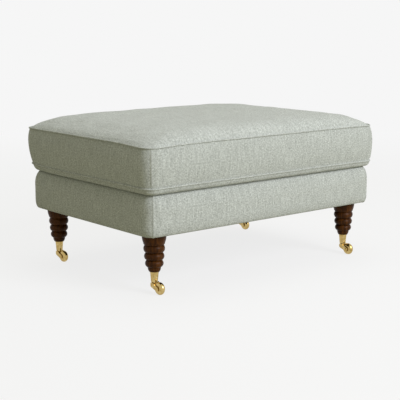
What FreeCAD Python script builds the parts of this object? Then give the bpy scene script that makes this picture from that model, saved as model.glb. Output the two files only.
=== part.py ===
import FreeCAD, Part
import math
import os

# An upholstered footstool: a sprung and padded box on four turned legs, each leg on a
# brass cup castor, with a loose boxed cushion that lies on top.
# Millimetres. The origin is on the floor under the middle of the stool, +X runs along
# the long side, +Y points to the back and +Z up.

# Castor wheel and its axle, at rest trailing towards the front
wheel_radius = 17.6
wheel_tread_radius = 8.45
wheel_hub_radius = 4.6
wheel_hub_half_width = 8.2
axle_radius = 2.0
axle_head_radius = 3.4
axle_head_height = 1.5

# Castor horn, which carries the wheel and turns under the cup
arm_gap = 0.6
arm_thickness = 2.4
arm_end_radius = 6.0
shoulder_radius = 6.6
shoulder_setback = 1.5
wheel_clearance = 1.5
boss_radius = 8.5
boss_height = 6.0
horn_rise = 14.5
trail_margin = 6.0
pin_radius = 3.0
pin_head_radius = 5.0
pin_head_height = 2.0

# Castor cup, which holds the foot of the leg
swivel_gap = 0.4
cup_height = 28.6
cup_base_radius = 9.5
cup_rim_radius = 12.0
cup_wall = 1.6
cup_floor = 3.0
cup_lip_height = 2.4
cup_lip_projection = 0.6
cup_screw_height = 13.0
cup_screw_radius = 1.3
cup_screw_length = 9.0
cup_screw_head_radius = 2.4
cup_screw_head_height = 1.1
cup_screw_hole_walls = 4

# Turned leg, from the frame down
leg_length = 105.9
leg_inset = 58.6
leg_collar_radius = 33.3
leg_collar_straight = 9.0
leg_collar_height = 32.4
leg_collar_foot_radius = 29.5
leg_collar_foot_height = 6.0
leg_collar_fullness = 0.68
leg_quirk_share = (0.72, 0.62)
leg_neck_height = 12.4
leg_foot_radius = 14.35
leg_neck_fullness = 0.8
bead_radii = (29.25, 27.5, 25.1)
groove_radii = (25.4, 22.55, 20.15, 18.0)
bead_shrink = 0.95
bead_crest = 0.47
spigot_end_gap = 4.0

# Padded box
base_length = 860.0
base_depth = 600.0
base_height = 113.0
base_corner = 33.0
lower_round_width = 9.0
lower_round_height = 22.0
upper_round_width = 22.0
upper_round_height = 40.0
cover_thickness = 1.6
deck_opening_inset = 70.0
dust_cover_thickness = 0.4
dust_cover_lap = 6.0

# Hardwood frame
side_padding_depth = 12.0
rail_thickness = 22.0
rail_height = 95.0
centre_rail_height = 45.0
centre_rail_raise = 20.0
block_leg = 92.0
block_height = 30.0
dowel_radius = 4.0
dowel_length = 30.0
dowel_in_rail = 12.0
dowel_spacing = 50.0
centre_dowel_spacing = 22.0
block_screw_offset = 68.0
block_screw_radius = 2.0
block_screw_length = 28.0
block_screw_head_radius = 4.0
block_screw_head_height = 2.4
block_screw_sink = 6.0

# Leg fixings
bolt_radius = 4.0
bolt_in_leg = 42.0
bolt_above_nut = 4.0
nut_barrel_radius = 5.2
nut_barrel_length = 10.0
nut_flange_radius = 11.0
nut_flange_thickness = 1.4

# Zigzag springs and what lies on them
spring_count = 7
spring_spacing = 110.0
spring_wire_radius = 1.9
spring_pitch = 18.0
spring_bar_half_length = 16.0
clip_thickness = 1.2
clip_width = 22.0
clip_reach = 6.0
hessian_thickness = 1.0
hessian_edge_inset = 13.0

# Staples that hold the dust cover
staple_pitch = 62.0
staple_crown = 10.0
staple_wire = 1.0
staple_leg = 8.0

# Cushion, measured at its upper seam
cushion_length = 880.0
cushion_depth = 620.0
cushion_corner = 34.0
cushion_border_top = 128.0
lower_seam_inset = 4.0
lower_seam_rise = 14.2
underside_flat_margin = 4.0
underside_bend = 8.0
lower_swell = 10.0
upper_swell = 13.0
swell_control = 0.27
crown_height = 40.0
crown_run = 140.0
crown_steps = 6
crown_fall = 2.6
crown_corner_growth = 0.8
crown_corner_limit = 0.9
cushion_cloth = 2.0
wrap_thickness = 12.0
piping_radius = 2.5
piping_sunk = 1.2
upper_piping_lean = (0.78, 0.62)
lower_piping_lean = (0.87, -0.5)

# Zip in the cushion's back border
zip_length = 560.0
zip_height = 12.0
teeth_height = 3.6
teeth_projection = 1.6
slider_start = 20.0
slider_half_length = 6.0
slider_half_height = 4.5
slider_plate = 2.0
lug_radius = 1.6
lug_half_width = 0.9
pull_pin_radius = 0.6
pull_ear_radius = 1.1
pull_ear_width = 1.1
pull_ear_length = 3.0
pull_length = 22.0
pull_half_width = 3.2
pull_thickness = 1.2

# Clearances
running_clearance = 0.05
moving_gap = 0.35
soft_ease = 0.3
hole_ease = 0.05
collar_ease = 1.3
blind_ease = 1.0
spigot_ease = 0.15

# Levels worked out from the floor up
axle_height = wheel_radius
horn_top = axle_height + horn_rise
cup_bottom = horn_top + swivel_gap
cup_top = cup_bottom + cup_height
frame_bottom = cup_top + leg_length
base_bottom = frame_bottom - cover_thickness
deck_height = frame_bottom + base_height
rail_top = frame_bottom + rail_height
spring_level = rail_top + clip_thickness + hole_ease + spring_wire_radius
clip_top = spring_level + spring_wire_radius + hole_ease + clip_thickness
hessian_top = clip_top + soft_ease + hessian_thickness
deck_underside = deck_height - cover_thickness
cushion_bottom = deck_height + soft_ease
lower_seam_height = cushion_bottom + lower_seam_rise
upper_seam_height = cushion_bottom + cushion_border_top

# Places in plan
trail = wheel_radius + trail_margin
leg_x = base_length / 2 - leg_inset
leg_y = base_depth / 2 - leg_inset
rail_inner_inset = side_padding_depth + rail_thickness
rail_inner_x = base_length / 2 - rail_inner_inset
rail_inner_y = base_depth / 2 - rail_inner_inset
rail_centre_inset = side_padding_depth + rail_thickness / 2
cover_turn_inset = leg_inset - leg_collar_radius - collar_ease
arm_inner = wheel_tread_radius + arm_gap
arm_outer = arm_inner + arm_thickness
legs = {
    "front_left": (-leg_x, -leg_y),
    "front_right": (leg_x, -leg_y),
    "back_left": (-leg_x, leg_y),
    "back_right": (leg_x, leg_y),
}

EAST = FreeCAD.Vector(1, 0, 0)
NORTH = FreeCAD.Vector(0, 1, 0)
UP = FreeCAD.Vector(0, 0, 1)
DOWN = FreeCAD.Vector(0, 0, -1)
BEYOND = 50.0


def at(out, height):
    """A point of a section: out is the distance outwards, height is above the floor."""
    return FreeCAD.Vector(out, 0, height)


def line(start, end):
    return Part.LineSegment(start, end).toShape()


def arc(start, middle, end):
    return Part.Arc(start, middle, end).toShape()


def conic(start, corner, end):
    """A quarter of an ellipse that leaves start towards corner and arrives at end."""
    curve = Part.BezierCurve()
    curve.setPoles([start, corner, end])
    curve.setWeight(2, math.sqrt(0.5))
    return curve.toShape()


def face(edges):
    return Part.Face(Part.Wire(edges))


def polygon(points):
    return face([line(a, b) for a, b in zip(points, points[1:] + points[:1])])


def turned(section):
    """Solid of revolution about the Z axis of a section drawn with at()."""
    return section.revolve(FreeCAD.Vector(), UP, 360)


def moved(shape, x, y, z=0.0):
    return shape.translated(FreeCAD.Vector(x, y, z))


def merged(shapes):
    """One solid from shapes that touch, without the seams between them."""
    return shapes[0].multiFuse(shapes[1:]).removeSplitter().Solids[0]


def box(low, high):
    size = [end - start for start, end in zip(low, high)]
    return Part.makeBox(size[0], size[1], size[2], FreeCAD.Vector(*low))


def cylinder(radius, start, direction, length):
    return Part.makeCylinder(radius, length, start, direction)


def plan(half_x, half_y, corner, z):
    """A rounded rectangle about the origin, as four lines and four arcs."""
    slant = corner * math.sqrt(0.5)
    edges = []
    for turn in range(4):
        reach, side = (half_x, half_y) if turn % 2 == 0 else (half_y, half_x)
        spin = FreeCAD.Rotation(UP, 90.0 * turn)
        bend = side - corner
        start = spin.multVec(FreeCAD.Vector(reach, -bend, z))
        end = spin.multVec(FreeCAD.Vector(reach, bend, z))
        middle = spin.multVec(FreeCAD.Vector(reach - corner + slant, bend + slant, z))
        after = spin.multVec(FreeCAD.Vector(reach - corner, side, z))
        edges.append(line(start, end))
        edges.append(arc(end, middle, after))
    return Part.Wire(edges)


def base_slab(inset, low, high):
    """A slab that runs parallel to the padded box's sides, inset from them."""
    corner = max(base_corner - inset, soft_ease)
    outline = plan(base_length / 2 - inset, base_depth / 2 - inset, corner, low)
    return Part.Face(outline).extrude(UP * (high - low))


def ring(section, half_x, half_y, corner):
    """A section swept round a rounded rectangle, with at(0, z) on the rectangle."""
    pieces = []
    for turn in range(4):
        reach, side = (half_x, half_y) if turn % 2 == 0 else (half_y, half_x)
        bend = side - corner
        run = moved(section, reach, -bend).extrude(NORTH * (2 * bend))
        centre = FreeCAD.Vector(reach - corner, bend, 0)
        elbow = moved(section, reach, bend).revolve(centre, UP, 90)
        for piece in (run, elbow):
            piece.rotate(FreeCAD.Vector(), UP, 90.0 * turn)
            pieces.append(piece)
    return merged(pieces)


def filled(section, half_x, half_y, corner, low, high):
    """A solid block from a section that reaches in to the corner's own axis."""
    core = box(
        (-half_x + corner, -half_y + corner, low),
        (half_x - corner, half_y - corner, high),
    )
    return merged([ring(section, half_x, half_y, corner), core])


def mirrored(shape):
    """The shape and its images across the stool's two middle planes."""
    over = shape.mirror(FreeCAD.Vector(), EAST)
    return [shape, over, shape.mirror(FreeCAD.Vector(), NORTH), over.mirror(FreeCAD.Vector(), NORTH)]


# Castors, each built about its own swivel axis


def wheel_section(half_width):
    """Half section of the wheel: a fat round tread that runs in to a flat hub."""
    tread_centre = wheel_radius - wheel_tread_radius
    side_reach = wheel_hub_radius - tread_centre
    side = math.sqrt(wheel_tread_radius**2 - side_reach**2)
    bore = axle_radius + running_clearance
    return face([
        line(at(bore, -half_width), at(wheel_hub_radius, -half_width)),
        line(at(wheel_hub_radius, -half_width), at(wheel_hub_radius, -side)),
        arc(at(wheel_hub_radius, -side), at(wheel_radius, 0), at(wheel_hub_radius, side)),
        line(at(wheel_hub_radius, side), at(wheel_hub_radius, half_width)),
        line(at(wheel_hub_radius, half_width), at(bore, half_width)),
        line(at(bore, half_width), at(bore, -half_width)),
    ])


def on_axle(shape):
    """Lay a shape turned about Z on to the wheel's axle, along X."""
    shape.rotate(FreeCAD.Vector(), NORTH, 90)
    return moved(shape, 0, -trail, axle_height)


def wheel():
    return on_axle(turned(wheel_section(wheel_hub_half_width)))


def dome(radius, height, start, direction):
    """A low round head on a flat seat."""
    sphere_radius = (radius**2 + height**2) / (2 * height)
    centre = start + direction * (height - sphere_radius)
    ball = Part.makeSphere(sphere_radius, centre)
    return ball.common(cylinder(radius, start, direction, height))


def axle():
    """Riveted axle with a low domed head outside each arm."""
    left = FreeCAD.Vector(-arm_outer, -trail, axle_height)
    right = FreeCAD.Vector(arm_outer, -trail, axle_height)
    shank = cylinder(axle_radius, left, EAST, 2 * arm_outer)
    heads = [
        dome(axle_head_radius, axle_head_height, left, EAST * -1),
        dome(axle_head_radius, axle_head_height, right, EAST),
    ]
    return merged([shank] + heads)


def tapered_link(centre_a, radius_a, centre_b, radius_b):
    """Outline in the YZ plane round two circles and the tangents between them."""
    across = centre_b - centre_a
    heading = math.atan2(across.z, across.y)
    lean = math.acos((radius_a - radius_b) / across.Length)

    def rim(centre, radius, angle):
        return centre + FreeCAD.Vector(0, math.cos(angle), math.sin(angle)) * radius

    a_start = rim(centre_a, radius_a, heading + lean)
    a_end = rim(centre_a, radius_a, heading - lean)
    b_start = rim(centre_b, radius_b, heading - lean)
    b_end = rim(centre_b, radius_b, heading + lean)
    return face([
        arc(a_start, rim(centre_a, radius_a, heading + math.pi), a_end),
        line(a_end, b_start),
        arc(b_start, rim(centre_b, radius_b, heading), b_end),
        line(b_end, a_start),
    ])


def horn():
    """Fork with a round boss on top, cut out round the wheel and bored for both pins."""
    left = FreeCAD.Vector(-arm_outer, 0, 0)
    shoulder = left + FreeCAD.Vector(0, -shoulder_setback, horn_top - shoulder_radius)
    hub = left + FreeCAD.Vector(0, -trail, axle_height)
    link = tapered_link(shoulder, shoulder_radius, hub, arm_end_radius)
    fork = link.extrude(EAST * (2 * arm_outer))
    round_plan = cylinder(arm_outer, FreeCAD.Vector(0, 0, horn_top), DOWN, BEYOND)
    slide_plan = box((-arm_outer, -trail - BEYOND, horn_top - BEYOND), (arm_outer, 0, horn_top))
    fork = fork.common(merged([round_plan, slide_plan]))
    boss = cylinder(boss_radius, FreeCAD.Vector(0, 0, horn_top), DOWN, boss_height)
    wheel_room = cylinder(
        wheel_radius + wheel_clearance,
        FreeCAD.Vector(-arm_inner, -trail, axle_height),
        EAST,
        2 * arm_inner,
    )
    axle_hole = cylinder(
        axle_radius + running_clearance,
        FreeCAD.Vector(-arm_outer, -trail, axle_height),
        EAST,
        2 * arm_outer,
    )
    pin_hole = cylinder(pin_radius + running_clearance, FreeCAD.Vector(0, 0, horn_top), DOWN, BEYOND)
    return merged([fork, boss]).cut(wheel_room).cut(axle_hole).cut(pin_hole).Solids[0]


def swivel_pin():
    """Rivet through the horn's boss and the cup's floor, headed inside the cup."""
    head_bottom = cup_bottom + cup_floor + moving_gap
    foot = horn_top - boss_height
    shank = cylinder(pin_radius, FreeCAD.Vector(0, 0, foot), UP, head_bottom - foot)
    head = cylinder(pin_head_radius, FreeCAD.Vector(0, 0, head_bottom), UP, pin_head_height)
    return merged([shank, head])


def cup_inside_radius(height):
    """Radius of the cup's tapered bore at a height above the floor."""
    share = (height - cup_bottom) / cup_height
    return cup_base_radius + share * (cup_rim_radius - cup_base_radius) - cup_wall


def cup_screw_places():
    """Foot and direction of each cup screw, one in front and one behind."""
    height = cup_bottom + cup_screw_height
    seat = cup_inside_radius(height + cup_screw_head_radius) + cup_wall
    return [(FreeCAD.Vector(0, side * seat, height), NORTH * side) for side in (-1, 1)]


def castor_cup():
    """Tapered brass cup with a lip at its rim and a floor for the swivel pin."""
    floor_top = cup_bottom + cup_floor
    lip_bottom = cup_top - cup_lip_height
    lip_radius = cup_rim_radius + cup_lip_projection
    bore = pin_radius + running_clearance
    outline = [
        at(bore, cup_bottom),
        at(cup_base_radius, cup_bottom),
        at(cup_inside_radius(lip_bottom) + cup_wall, lip_bottom),
        at(lip_radius, lip_bottom),
        at(lip_radius, cup_top),
        at(cup_inside_radius(cup_top), cup_top),
        at(cup_inside_radius(floor_top), floor_top),
        at(bore, floor_top),
    ]
    cup = turned(polygon(outline))
    for seat, outwards in cup_screw_places():
        start = seat + outwards * cup_wall
        depth = cup_screw_hole_walls * cup_wall
        cup = cup.cut(cylinder(cup_screw_radius + hole_ease, start, outwards * -1, depth))
    return cup.Solids[0]


def cup_screws():
    """Round-headed brass screws of one cup."""
    screws = []
    for seat, outwards in cup_screw_places():
        shank = cylinder(cup_screw_radius, seat, outwards * -1, cup_screw_length)
        head = dome(cup_screw_head_radius, cup_screw_head_height, seat, outwards)
        screws.append(merged([shank, head]))
    return screws


# Legs and their fixings, each built about its own axis


def leg_outline():
    """Edges of the turned profile, from the collar's top edge to the foot."""
    def below(radius, drop):
        return at(radius, frame_bottom - drop)

    foot_drop = leg_collar_height - leg_collar_foot_height
    middle_drop = (leg_collar_straight + foot_drop) / 2
    taper = leg_collar_radius - leg_collar_foot_radius
    middle_radius = leg_collar_foot_radius + leg_collar_fullness * taper
    quirk_out, quirk_down = leg_quirk_share
    quirk = below(
        groove_radii[0] + quirk_out * (leg_collar_foot_radius - groove_radii[0]),
        foot_drop + quirk_down * leg_collar_foot_height,
    )
    edges = [
        line(below(leg_collar_radius, 0), below(leg_collar_radius, leg_collar_straight)),
        arc(
            below(leg_collar_radius, leg_collar_straight),
            below(middle_radius, middle_drop),
            below(leg_collar_foot_radius, foot_drop),
        ),
        arc(below(leg_collar_foot_radius, foot_drop), quirk, below(groove_radii[0], leg_collar_height)),
    ]
    shares = [bead_shrink**number for number in range(len(bead_radii))]
    beaded_length = leg_length - leg_collar_height - leg_neck_height
    drop = leg_collar_height
    for number, crest in enumerate(bead_radii):
        height = beaded_length * shares[number] / sum(shares)
        edges.append(arc(
            below(groove_radii[number], drop),
            below(crest, drop + bead_crest * height),
            below(groove_radii[number + 1], drop + height),
        ))
        drop += height
    neck_middle = leg_foot_radius + leg_neck_fullness * (groove_radii[-1] - leg_foot_radius)
    edges.append(arc(
        below(groove_radii[-1], drop),
        below(neck_middle, drop + leg_neck_height / 2),
        below(leg_foot_radius, leg_length),
    ))
    return edges


def leg():
    """Turned leg with a tapered spigot for the cup and a pilot hole for the bolt."""
    spigot_bottom = cup_bottom + cup_floor + spigot_end_gap
    spigot_top_radius = cup_inside_radius(cup_top) - spigot_ease
    spigot_end_radius = cup_inside_radius(spigot_bottom) - spigot_ease
    edges = leg_outline() + [
        line(at(leg_foot_radius, cup_top), at(spigot_top_radius, cup_top)),
        line(at(spigot_top_radius, cup_top), at(spigot_end_radius, spigot_bottom)),
        line(at(spigot_end_radius, spigot_bottom), at(0, spigot_bottom)),
        line(at(0, spigot_bottom), at(0, frame_bottom)),
        line(at(0, frame_bottom), at(leg_collar_radius, frame_bottom)),
    ]
    wood = turned(face(edges))
    pilot = cylinder(
        bolt_radius + hole_ease, FreeCAD.Vector(0, 0, frame_bottom), DOWN, bolt_in_leg + blind_ease
    )
    wood = wood.cut(pilot)
    for seat, outwards in cup_screw_places():
        depth = cup_screw_length + blind_ease
        wood = wood.cut(cylinder(cup_screw_radius + hole_ease, seat, outwards * -1, depth))
    return wood.Solids[0]


def hanger_bolt():
    top = frame_bottom + block_height + nut_flange_thickness + bolt_above_nut
    length = top - frame_bottom + bolt_in_leg
    tip = Part.makeCone(0, bolt_radius, bolt_radius, FreeCAD.Vector(0, 0, top - length))
    shank = cylinder(bolt_radius, FreeCAD.Vector(0, 0, top), DOWN, length - bolt_radius)
    return merged([shank, tip])


def tee_nut():
    seat = frame_bottom + block_height
    flange = cylinder(nut_flange_radius, FreeCAD.Vector(0, 0, seat), UP, nut_flange_thickness)
    barrel = cylinder(nut_barrel_radius, FreeCAD.Vector(0, 0, seat), DOWN, nut_barrel_length)
    bore = cylinder(
        bolt_radius + hole_ease, FreeCAD.Vector(0, 0, seat - nut_barrel_length), UP, BEYOND
    )
    return merged([flange, barrel]).cut(bore).Solids[0]


# Frame


def corner_dowel_places():
    """Centre heights and X of the dowels that join a side rail to the front rail."""
    x = base_length / 2 - rail_centre_inset
    middle = frame_bottom + rail_height / 2
    return [(x, middle - dowel_spacing / 2), (x, middle + dowel_spacing / 2)]


def centre_dowel_places():
    middle = frame_bottom + centre_rail_raise + centre_rail_height / 2
    return [(0, middle - centre_dowel_spacing / 2), (0, middle + centre_dowel_spacing / 2)]


def dowel(x, z, ease, spare):
    """A dowel across the joint at the front rail's inner face, or its hole with spare room."""
    start = FreeCAD.Vector(x, -rail_inner_y - dowel_in_rail - spare, z)
    return cylinder(dowel_radius + ease, start, NORTH, dowel_length + 2 * spare)


def all_dowels(ease=0.0, spare=0.0):
    corner = [dowel(x, z, ease, spare) for x, z in corner_dowel_places()]
    centre = [dowel(x, z, ease, spare) for x, z in centre_dowel_places()]
    back = [peg.mirror(FreeCAD.Vector(), NORTH) for peg in centre]
    return [image for peg in corner for image in mirrored(peg)] + centre + back


def block_screw_start():
    """Where a screw of the back right block into its back rail begins, sunk in the block."""
    x = rail_inner_x - block_screw_offset
    head_y = rail_inner_y - (block_leg - block_screw_offset) + block_screw_sink
    return FreeCAD.Vector(x, head_y, frame_bottom + block_height / 2)


def block_screw():
    start = block_screw_start()
    shank = cylinder(block_screw_radius, start, NORTH, block_screw_length)
    head = cylinder(block_screw_head_radius, start, NORTH, block_screw_head_height)
    return merged([shank, head])


def block_screw_hole():
    """Room for the screw's shank, and for its head from the block's open face."""
    start = block_screw_start()
    shank = cylinder(block_screw_radius + hole_ease, start, NORTH, block_screw_length + blind_ease)
    seat = start + NORTH * block_screw_head_height
    sink = cylinder(block_screw_head_radius + hole_ease, seat, NORTH * -1, BEYOND)
    return merged([shank, sink])


def across_corner(shape):
    """Swap a back right piece over the corner's diagonal, on to the right rail."""
    corner = FreeCAD.Vector(rail_inner_x, rail_inner_y, 0)
    return shape.mirror(corner, FreeCAD.Vector(1, -1, 0).normalize())


def at_every_block(shape):
    """A screw or its hole at both sides of each of the four blocks."""
    return [image for side in (shape, across_corner(shape)) for image in mirrored(side)]


def frame_rails():
    """Front and back rails run the full length, and the side rails stand between them."""
    outer = base_slab(side_padding_depth, frame_bottom, rail_top)
    inner = box(
        (-rail_inner_x, -rail_inner_y, frame_bottom),
        (rail_inner_x, rail_inner_y, rail_top),
    )
    timber = outer.cut(inner)
    far_x = base_length
    far_y = base_depth
    areas = {
        "front_rail": box((-far_x, -far_y, 0), (far_x, -rail_inner_y, rail_top)),
        "back_rail": box((-far_x, rail_inner_y, 0), (far_x, far_y, rail_top)),
        "left_rail": box((-far_x, -rail_inner_y, 0), (0, rail_inner_y, rail_top)),
        "right_rail": box((0, -rail_inner_y, 0), (far_x, rail_inner_y, rail_top)),
    }
    holes = Part.makeCompound(all_dowels(hole_ease, blind_ease) + at_every_block(block_screw_hole()))
    rails = {name: timber.common(area).cut(holes).Solids[0] for name, area in areas.items()}
    low = frame_bottom + centre_rail_raise
    centre = box(
        (-rail_thickness / 2, -rail_inner_y, low),
        (rail_thickness / 2, rail_inner_y, low + centre_rail_height),
    )
    rails["centre_rail"] = centre.cut(holes).Solids[0]
    return rails


def corner_block():
    """Three-cornered block of the back right corner, bored for the leg's fixings."""
    outline = polygon([
        FreeCAD.Vector(rail_inner_x, rail_inner_y, frame_bottom),
        FreeCAD.Vector(rail_inner_x - block_leg, rail_inner_y, frame_bottom),
        FreeCAD.Vector(rail_inner_x, rail_inner_y - block_leg, frame_bottom),
    ])
    block = outline.extrude(UP * block_height)
    top = FreeCAD.Vector(leg_x, leg_y, frame_bottom + block_height)
    barrel_depth = nut_barrel_length + blind_ease
    barrel_room = cylinder(nut_barrel_radius + hole_ease, top, DOWN, barrel_depth)
    bolt_room = cylinder(bolt_radius + hole_ease, top, DOWN, block_height)
    block = block.cut(barrel_room).cut(bolt_room)
    hole = block_screw_hole()
    return block.cut(hole).cut(across_corner(hole)).Solids[0]


# Springing and upholstery of the padded box


def spring():
    """Zigzag spring along Y at X = 0, from the front rail's clips to the back rail's."""
    reach = base_depth / 2 - rail_centre_inset
    gaps = round(2 * reach / spring_pitch)
    pitch = 2 * reach / gaps
    edges = []
    for number in range(gaps + 1):
        side = -1 if number % 2 else 1
        y = -reach + number * pitch
        start = FreeCAD.Vector(-side * spring_bar_half_length, y, spring_level)
        end = FreeCAD.Vector(side * spring_bar_half_length, y, spring_level)
        edges.append(line(start, end))
        if number < gaps:
            turn = FreeCAD.Vector(side * (spring_bar_half_length + pitch / 2), y + pitch / 2, spring_level)
            edges.append(arc(end, turn, end + NORTH * pitch))
    path = Part.Wire(edges)
    start = path.OrderedVertexes[0].Point
    profile = Part.Wire(Part.makeCircle(spring_wire_radius, start, EAST))
    return path.makePipeShell([profile], True, False)


def spring_clip():
    """Folded steel clip on the front rail at X = 0, open towards the stool's outside."""
    bar_y = -(base_depth / 2 - rail_centre_inset)
    inner = spring_wire_radius + hole_ease
    outer = inner + clip_thickness
    start = FreeCAD.Vector(-clip_width / 2, bar_y, spring_level)
    curl = cylinder(outer, start, EAST, clip_width).cut(cylinder(inner, start, EAST, clip_width))
    keep = box((-clip_width, bar_y, rail_top), (clip_width, bar_y + BEYOND, rail_top + BEYOND))
    leaf_low = box(
        (-clip_width / 2, bar_y - clip_reach, rail_top),
        (clip_width / 2, bar_y, rail_top + clip_thickness),
    )
    leaf_high = box(
        (-clip_width / 2, bar_y - clip_reach, clip_top - clip_thickness),
        (clip_width / 2, bar_y, clip_top),
    )
    return merged([curl.common(keep), leaf_low, leaf_high])


def spring_places():
    middle = (spring_count - 1) / 2
    return [(number - middle) * spring_spacing for number in range(spring_count)]


def hessian_sheet():
    """Coarse cloth over the springs, turned down and tacked to the rails' top edge."""
    outside = base_slab(hessian_edge_inset, rail_top, hessian_top)
    inside = base_slab(hessian_edge_inset + hessian_thickness, rail_top, hessian_top - hessian_thickness)
    return outside.cut(inside).Solids[0]


def base_body(inset):
    """The padded box's outer form, or the same form set in all round by inset."""
    low = base_bottom + inset
    high = deck_height - inset
    side_low = at(-inset, base_bottom + lower_round_height)
    side_high = at(-inset, deck_height - upper_round_height)
    section = face([
        line(at(-base_corner, low), at(-lower_round_width, low)),
        conic(at(-lower_round_width, low), at(-inset, low), side_low),
        line(side_low, side_high),
        conic(side_high, at(-inset, high), at(-upper_round_width, high)),
        line(at(-upper_round_width, high), at(-base_corner, high)),
        line(at(-base_corner, high), at(-base_corner, low)),
    ])
    return filled(section, base_length / 2, base_depth / 2, base_corner, low, high)


def base_cover():
    """Close cover over the sides and the deck's edge, turned under the rails."""
    skin = base_body(0).cut(base_body(cover_thickness))
    turn_room = base_slab(cover_turn_inset, base_bottom - BEYOND, frame_bottom)
    deck_room = base_slab(deck_opening_inset, deck_underside - soft_ease, deck_height + BEYOND)
    return skin.cut(turn_room).cut(deck_room).Solids[0]


def deck_cloth():
    return base_slab(deck_opening_inset + soft_ease, deck_underside, deck_height)


def deck_pad():
    """Thin felt over the hessian, inside the wadding's roll."""
    return base_slab(rail_inner_inset + soft_ease, hessian_top + hole_ease, deck_underside - hole_ease)


def side_wadding():
    """Wadding round the frame, with a roll along the deck's edge."""
    outside = base_body(cover_thickness + soft_ease)
    frame_room = base_slab(side_padding_depth - soft_ease, 0, hessian_top + hole_ease)
    deck_room = base_slab(rail_inner_inset, hessian_top, deck_height)
    return outside.cut(frame_room).cut(deck_room).Solids[0]


def dust_cover():
    """Thin cloth under the frame, cut round the legs' collars."""
    edge = cover_turn_inset - dust_cover_lap
    cloth = base_slab(edge, base_bottom - dust_cover_thickness, base_bottom)
    for x, y in legs.values():
        low = FreeCAD.Vector(x, y, 0)
        cloth = cloth.cut(cylinder(leg_collar_radius + collar_ease, low, UP, frame_bottom))
    return cloth.Solids[0]


def staple():
    """A staple along X under the dust cover, at the origin in plan."""
    low = base_bottom - dust_cover_thickness - staple_wire
    half = staple_crown / 2
    thick = staple_wire / 2
    crown = box((-half, -thick, low), (half, thick, low + staple_wire))
    shanks = [
        box((x, -thick, low), (x + staple_wire, thick, low + staple_leg))
        for x in (-half, half - staple_wire)
    ]
    return merged([crown] + shanks)


def staple_row(length, offset):
    """Staples along one side, centred, at the given distance from the middle."""
    straight = length - 2 * leg_inset
    gaps = max(round(straight / staple_pitch), 1)
    pitch = straight / gaps
    return [moved(staple(), (number - gaps / 2) * pitch, -offset) for number in range(gaps + 1)]


def staples():
    inset = cover_turn_inset - dust_cover_lap / 2
    front = staple_row(base_length, base_depth / 2 - inset)
    side = staple_row(base_depth, base_length / 2 - inset)
    groups = [(front, 0), (side, 90), (front, 180), (side, 270)]
    return [piece.rotated(FreeCAD.Vector(), UP, angle) for group, angle in groups for piece in group]


# Cushion


def border_controls(inset):
    """Lower seam, the border curve's two controls, and the upper seam."""
    lower = at(-lower_seam_inset - inset, lower_seam_height + inset)
    upper = at(-inset, upper_seam_height - inset)
    lift = swell_control * (upper.z - lower.z)
    return [lower, lower + at(lower_swell, lift), upper + at(upper_swell, -lift), upper]


def border_middle():
    """The point halfway along the border's curve."""
    lower, first, second, upper = border_controls(0)
    return (lower + first * 3 + second * 3 + upper) / 8


def cushion_section(inset):
    """Section of the cushion below its upper seam, in to the corner's axis."""
    controls = border_controls(inset)
    border = Part.BezierCurve()
    border.setPoles(controls)
    low = cushion_bottom + inset
    upper = controls[-1]
    flat_end = at(-cushion_corner + underside_flat_margin, low)
    bend = at(-underside_bend - inset, low)
    axis = -cushion_corner
    return face([
        line(at(axis, low), flat_end),
        conic(flat_end, bend, controls[0]),
        border.toShape(),
        line(upper, at(axis, upper.z)),
        line(at(axis, upper.z), at(axis, low)),
    ])


def crown(inset):
    """Soft crown over the upper seam, flat in the middle where something can rest."""
    half_x = cushion_length / 2 - inset
    half_y = cushion_depth / 2 - inset
    outlines = []
    for step in range(crown_steps + 1):
        share = step / crown_steps
        run = crown_run * share
        rise = crown_height * (1 - (1 - share) ** crown_fall)
        grown = cushion_corner - inset + crown_corner_growth * run
        corner = min(grown, crown_corner_limit * (half_y - run))
        outlines.append(plan(half_x - run, half_y - run, corner, upper_seam_height - inset + rise))
    return Part.makeLoft(outlines, True)


def cushion_body(inset):
    """The cushion's outer form, or the same form set in all round by inset."""
    section = cushion_section(inset)
    low = cushion_bottom + inset
    high = upper_seam_height - inset
    lower = filled(section, cushion_length / 2, cushion_depth / 2, cushion_corner, low, high)
    return merged([lower, crown(inset)])


def piping(out, height, radius):
    """A cord of cloth round the cushion, its centre out from the upper seam's outline."""
    circle = Part.Wire(Part.makeCircle(radius, at(out, height), NORTH))
    return ring(Part.Face(circle), cushion_length / 2, cushion_depth / 2, cushion_corner)


def piping_centres():
    """Centres of the upper and lower piping, a little outside their seams."""
    stand_off = piping_radius - piping_sunk
    lower, _, _, upper = border_controls(0)
    return upper + at(*upper_piping_lean) * stand_off, lower + at(*lower_piping_lean) * stand_off


def zip_room(ease):
    """The zip's place in the back border, smaller by ease on every side."""
    middle = border_middle()
    back = cushion_depth / 2 + middle.x
    half = zip_length / 2 - ease
    rise = zip_height / 2 - ease
    reach = 2 * cushion_cloth
    return box((-half, back - reach, middle.z - rise), (half, back + reach, middle.z + rise))


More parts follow.
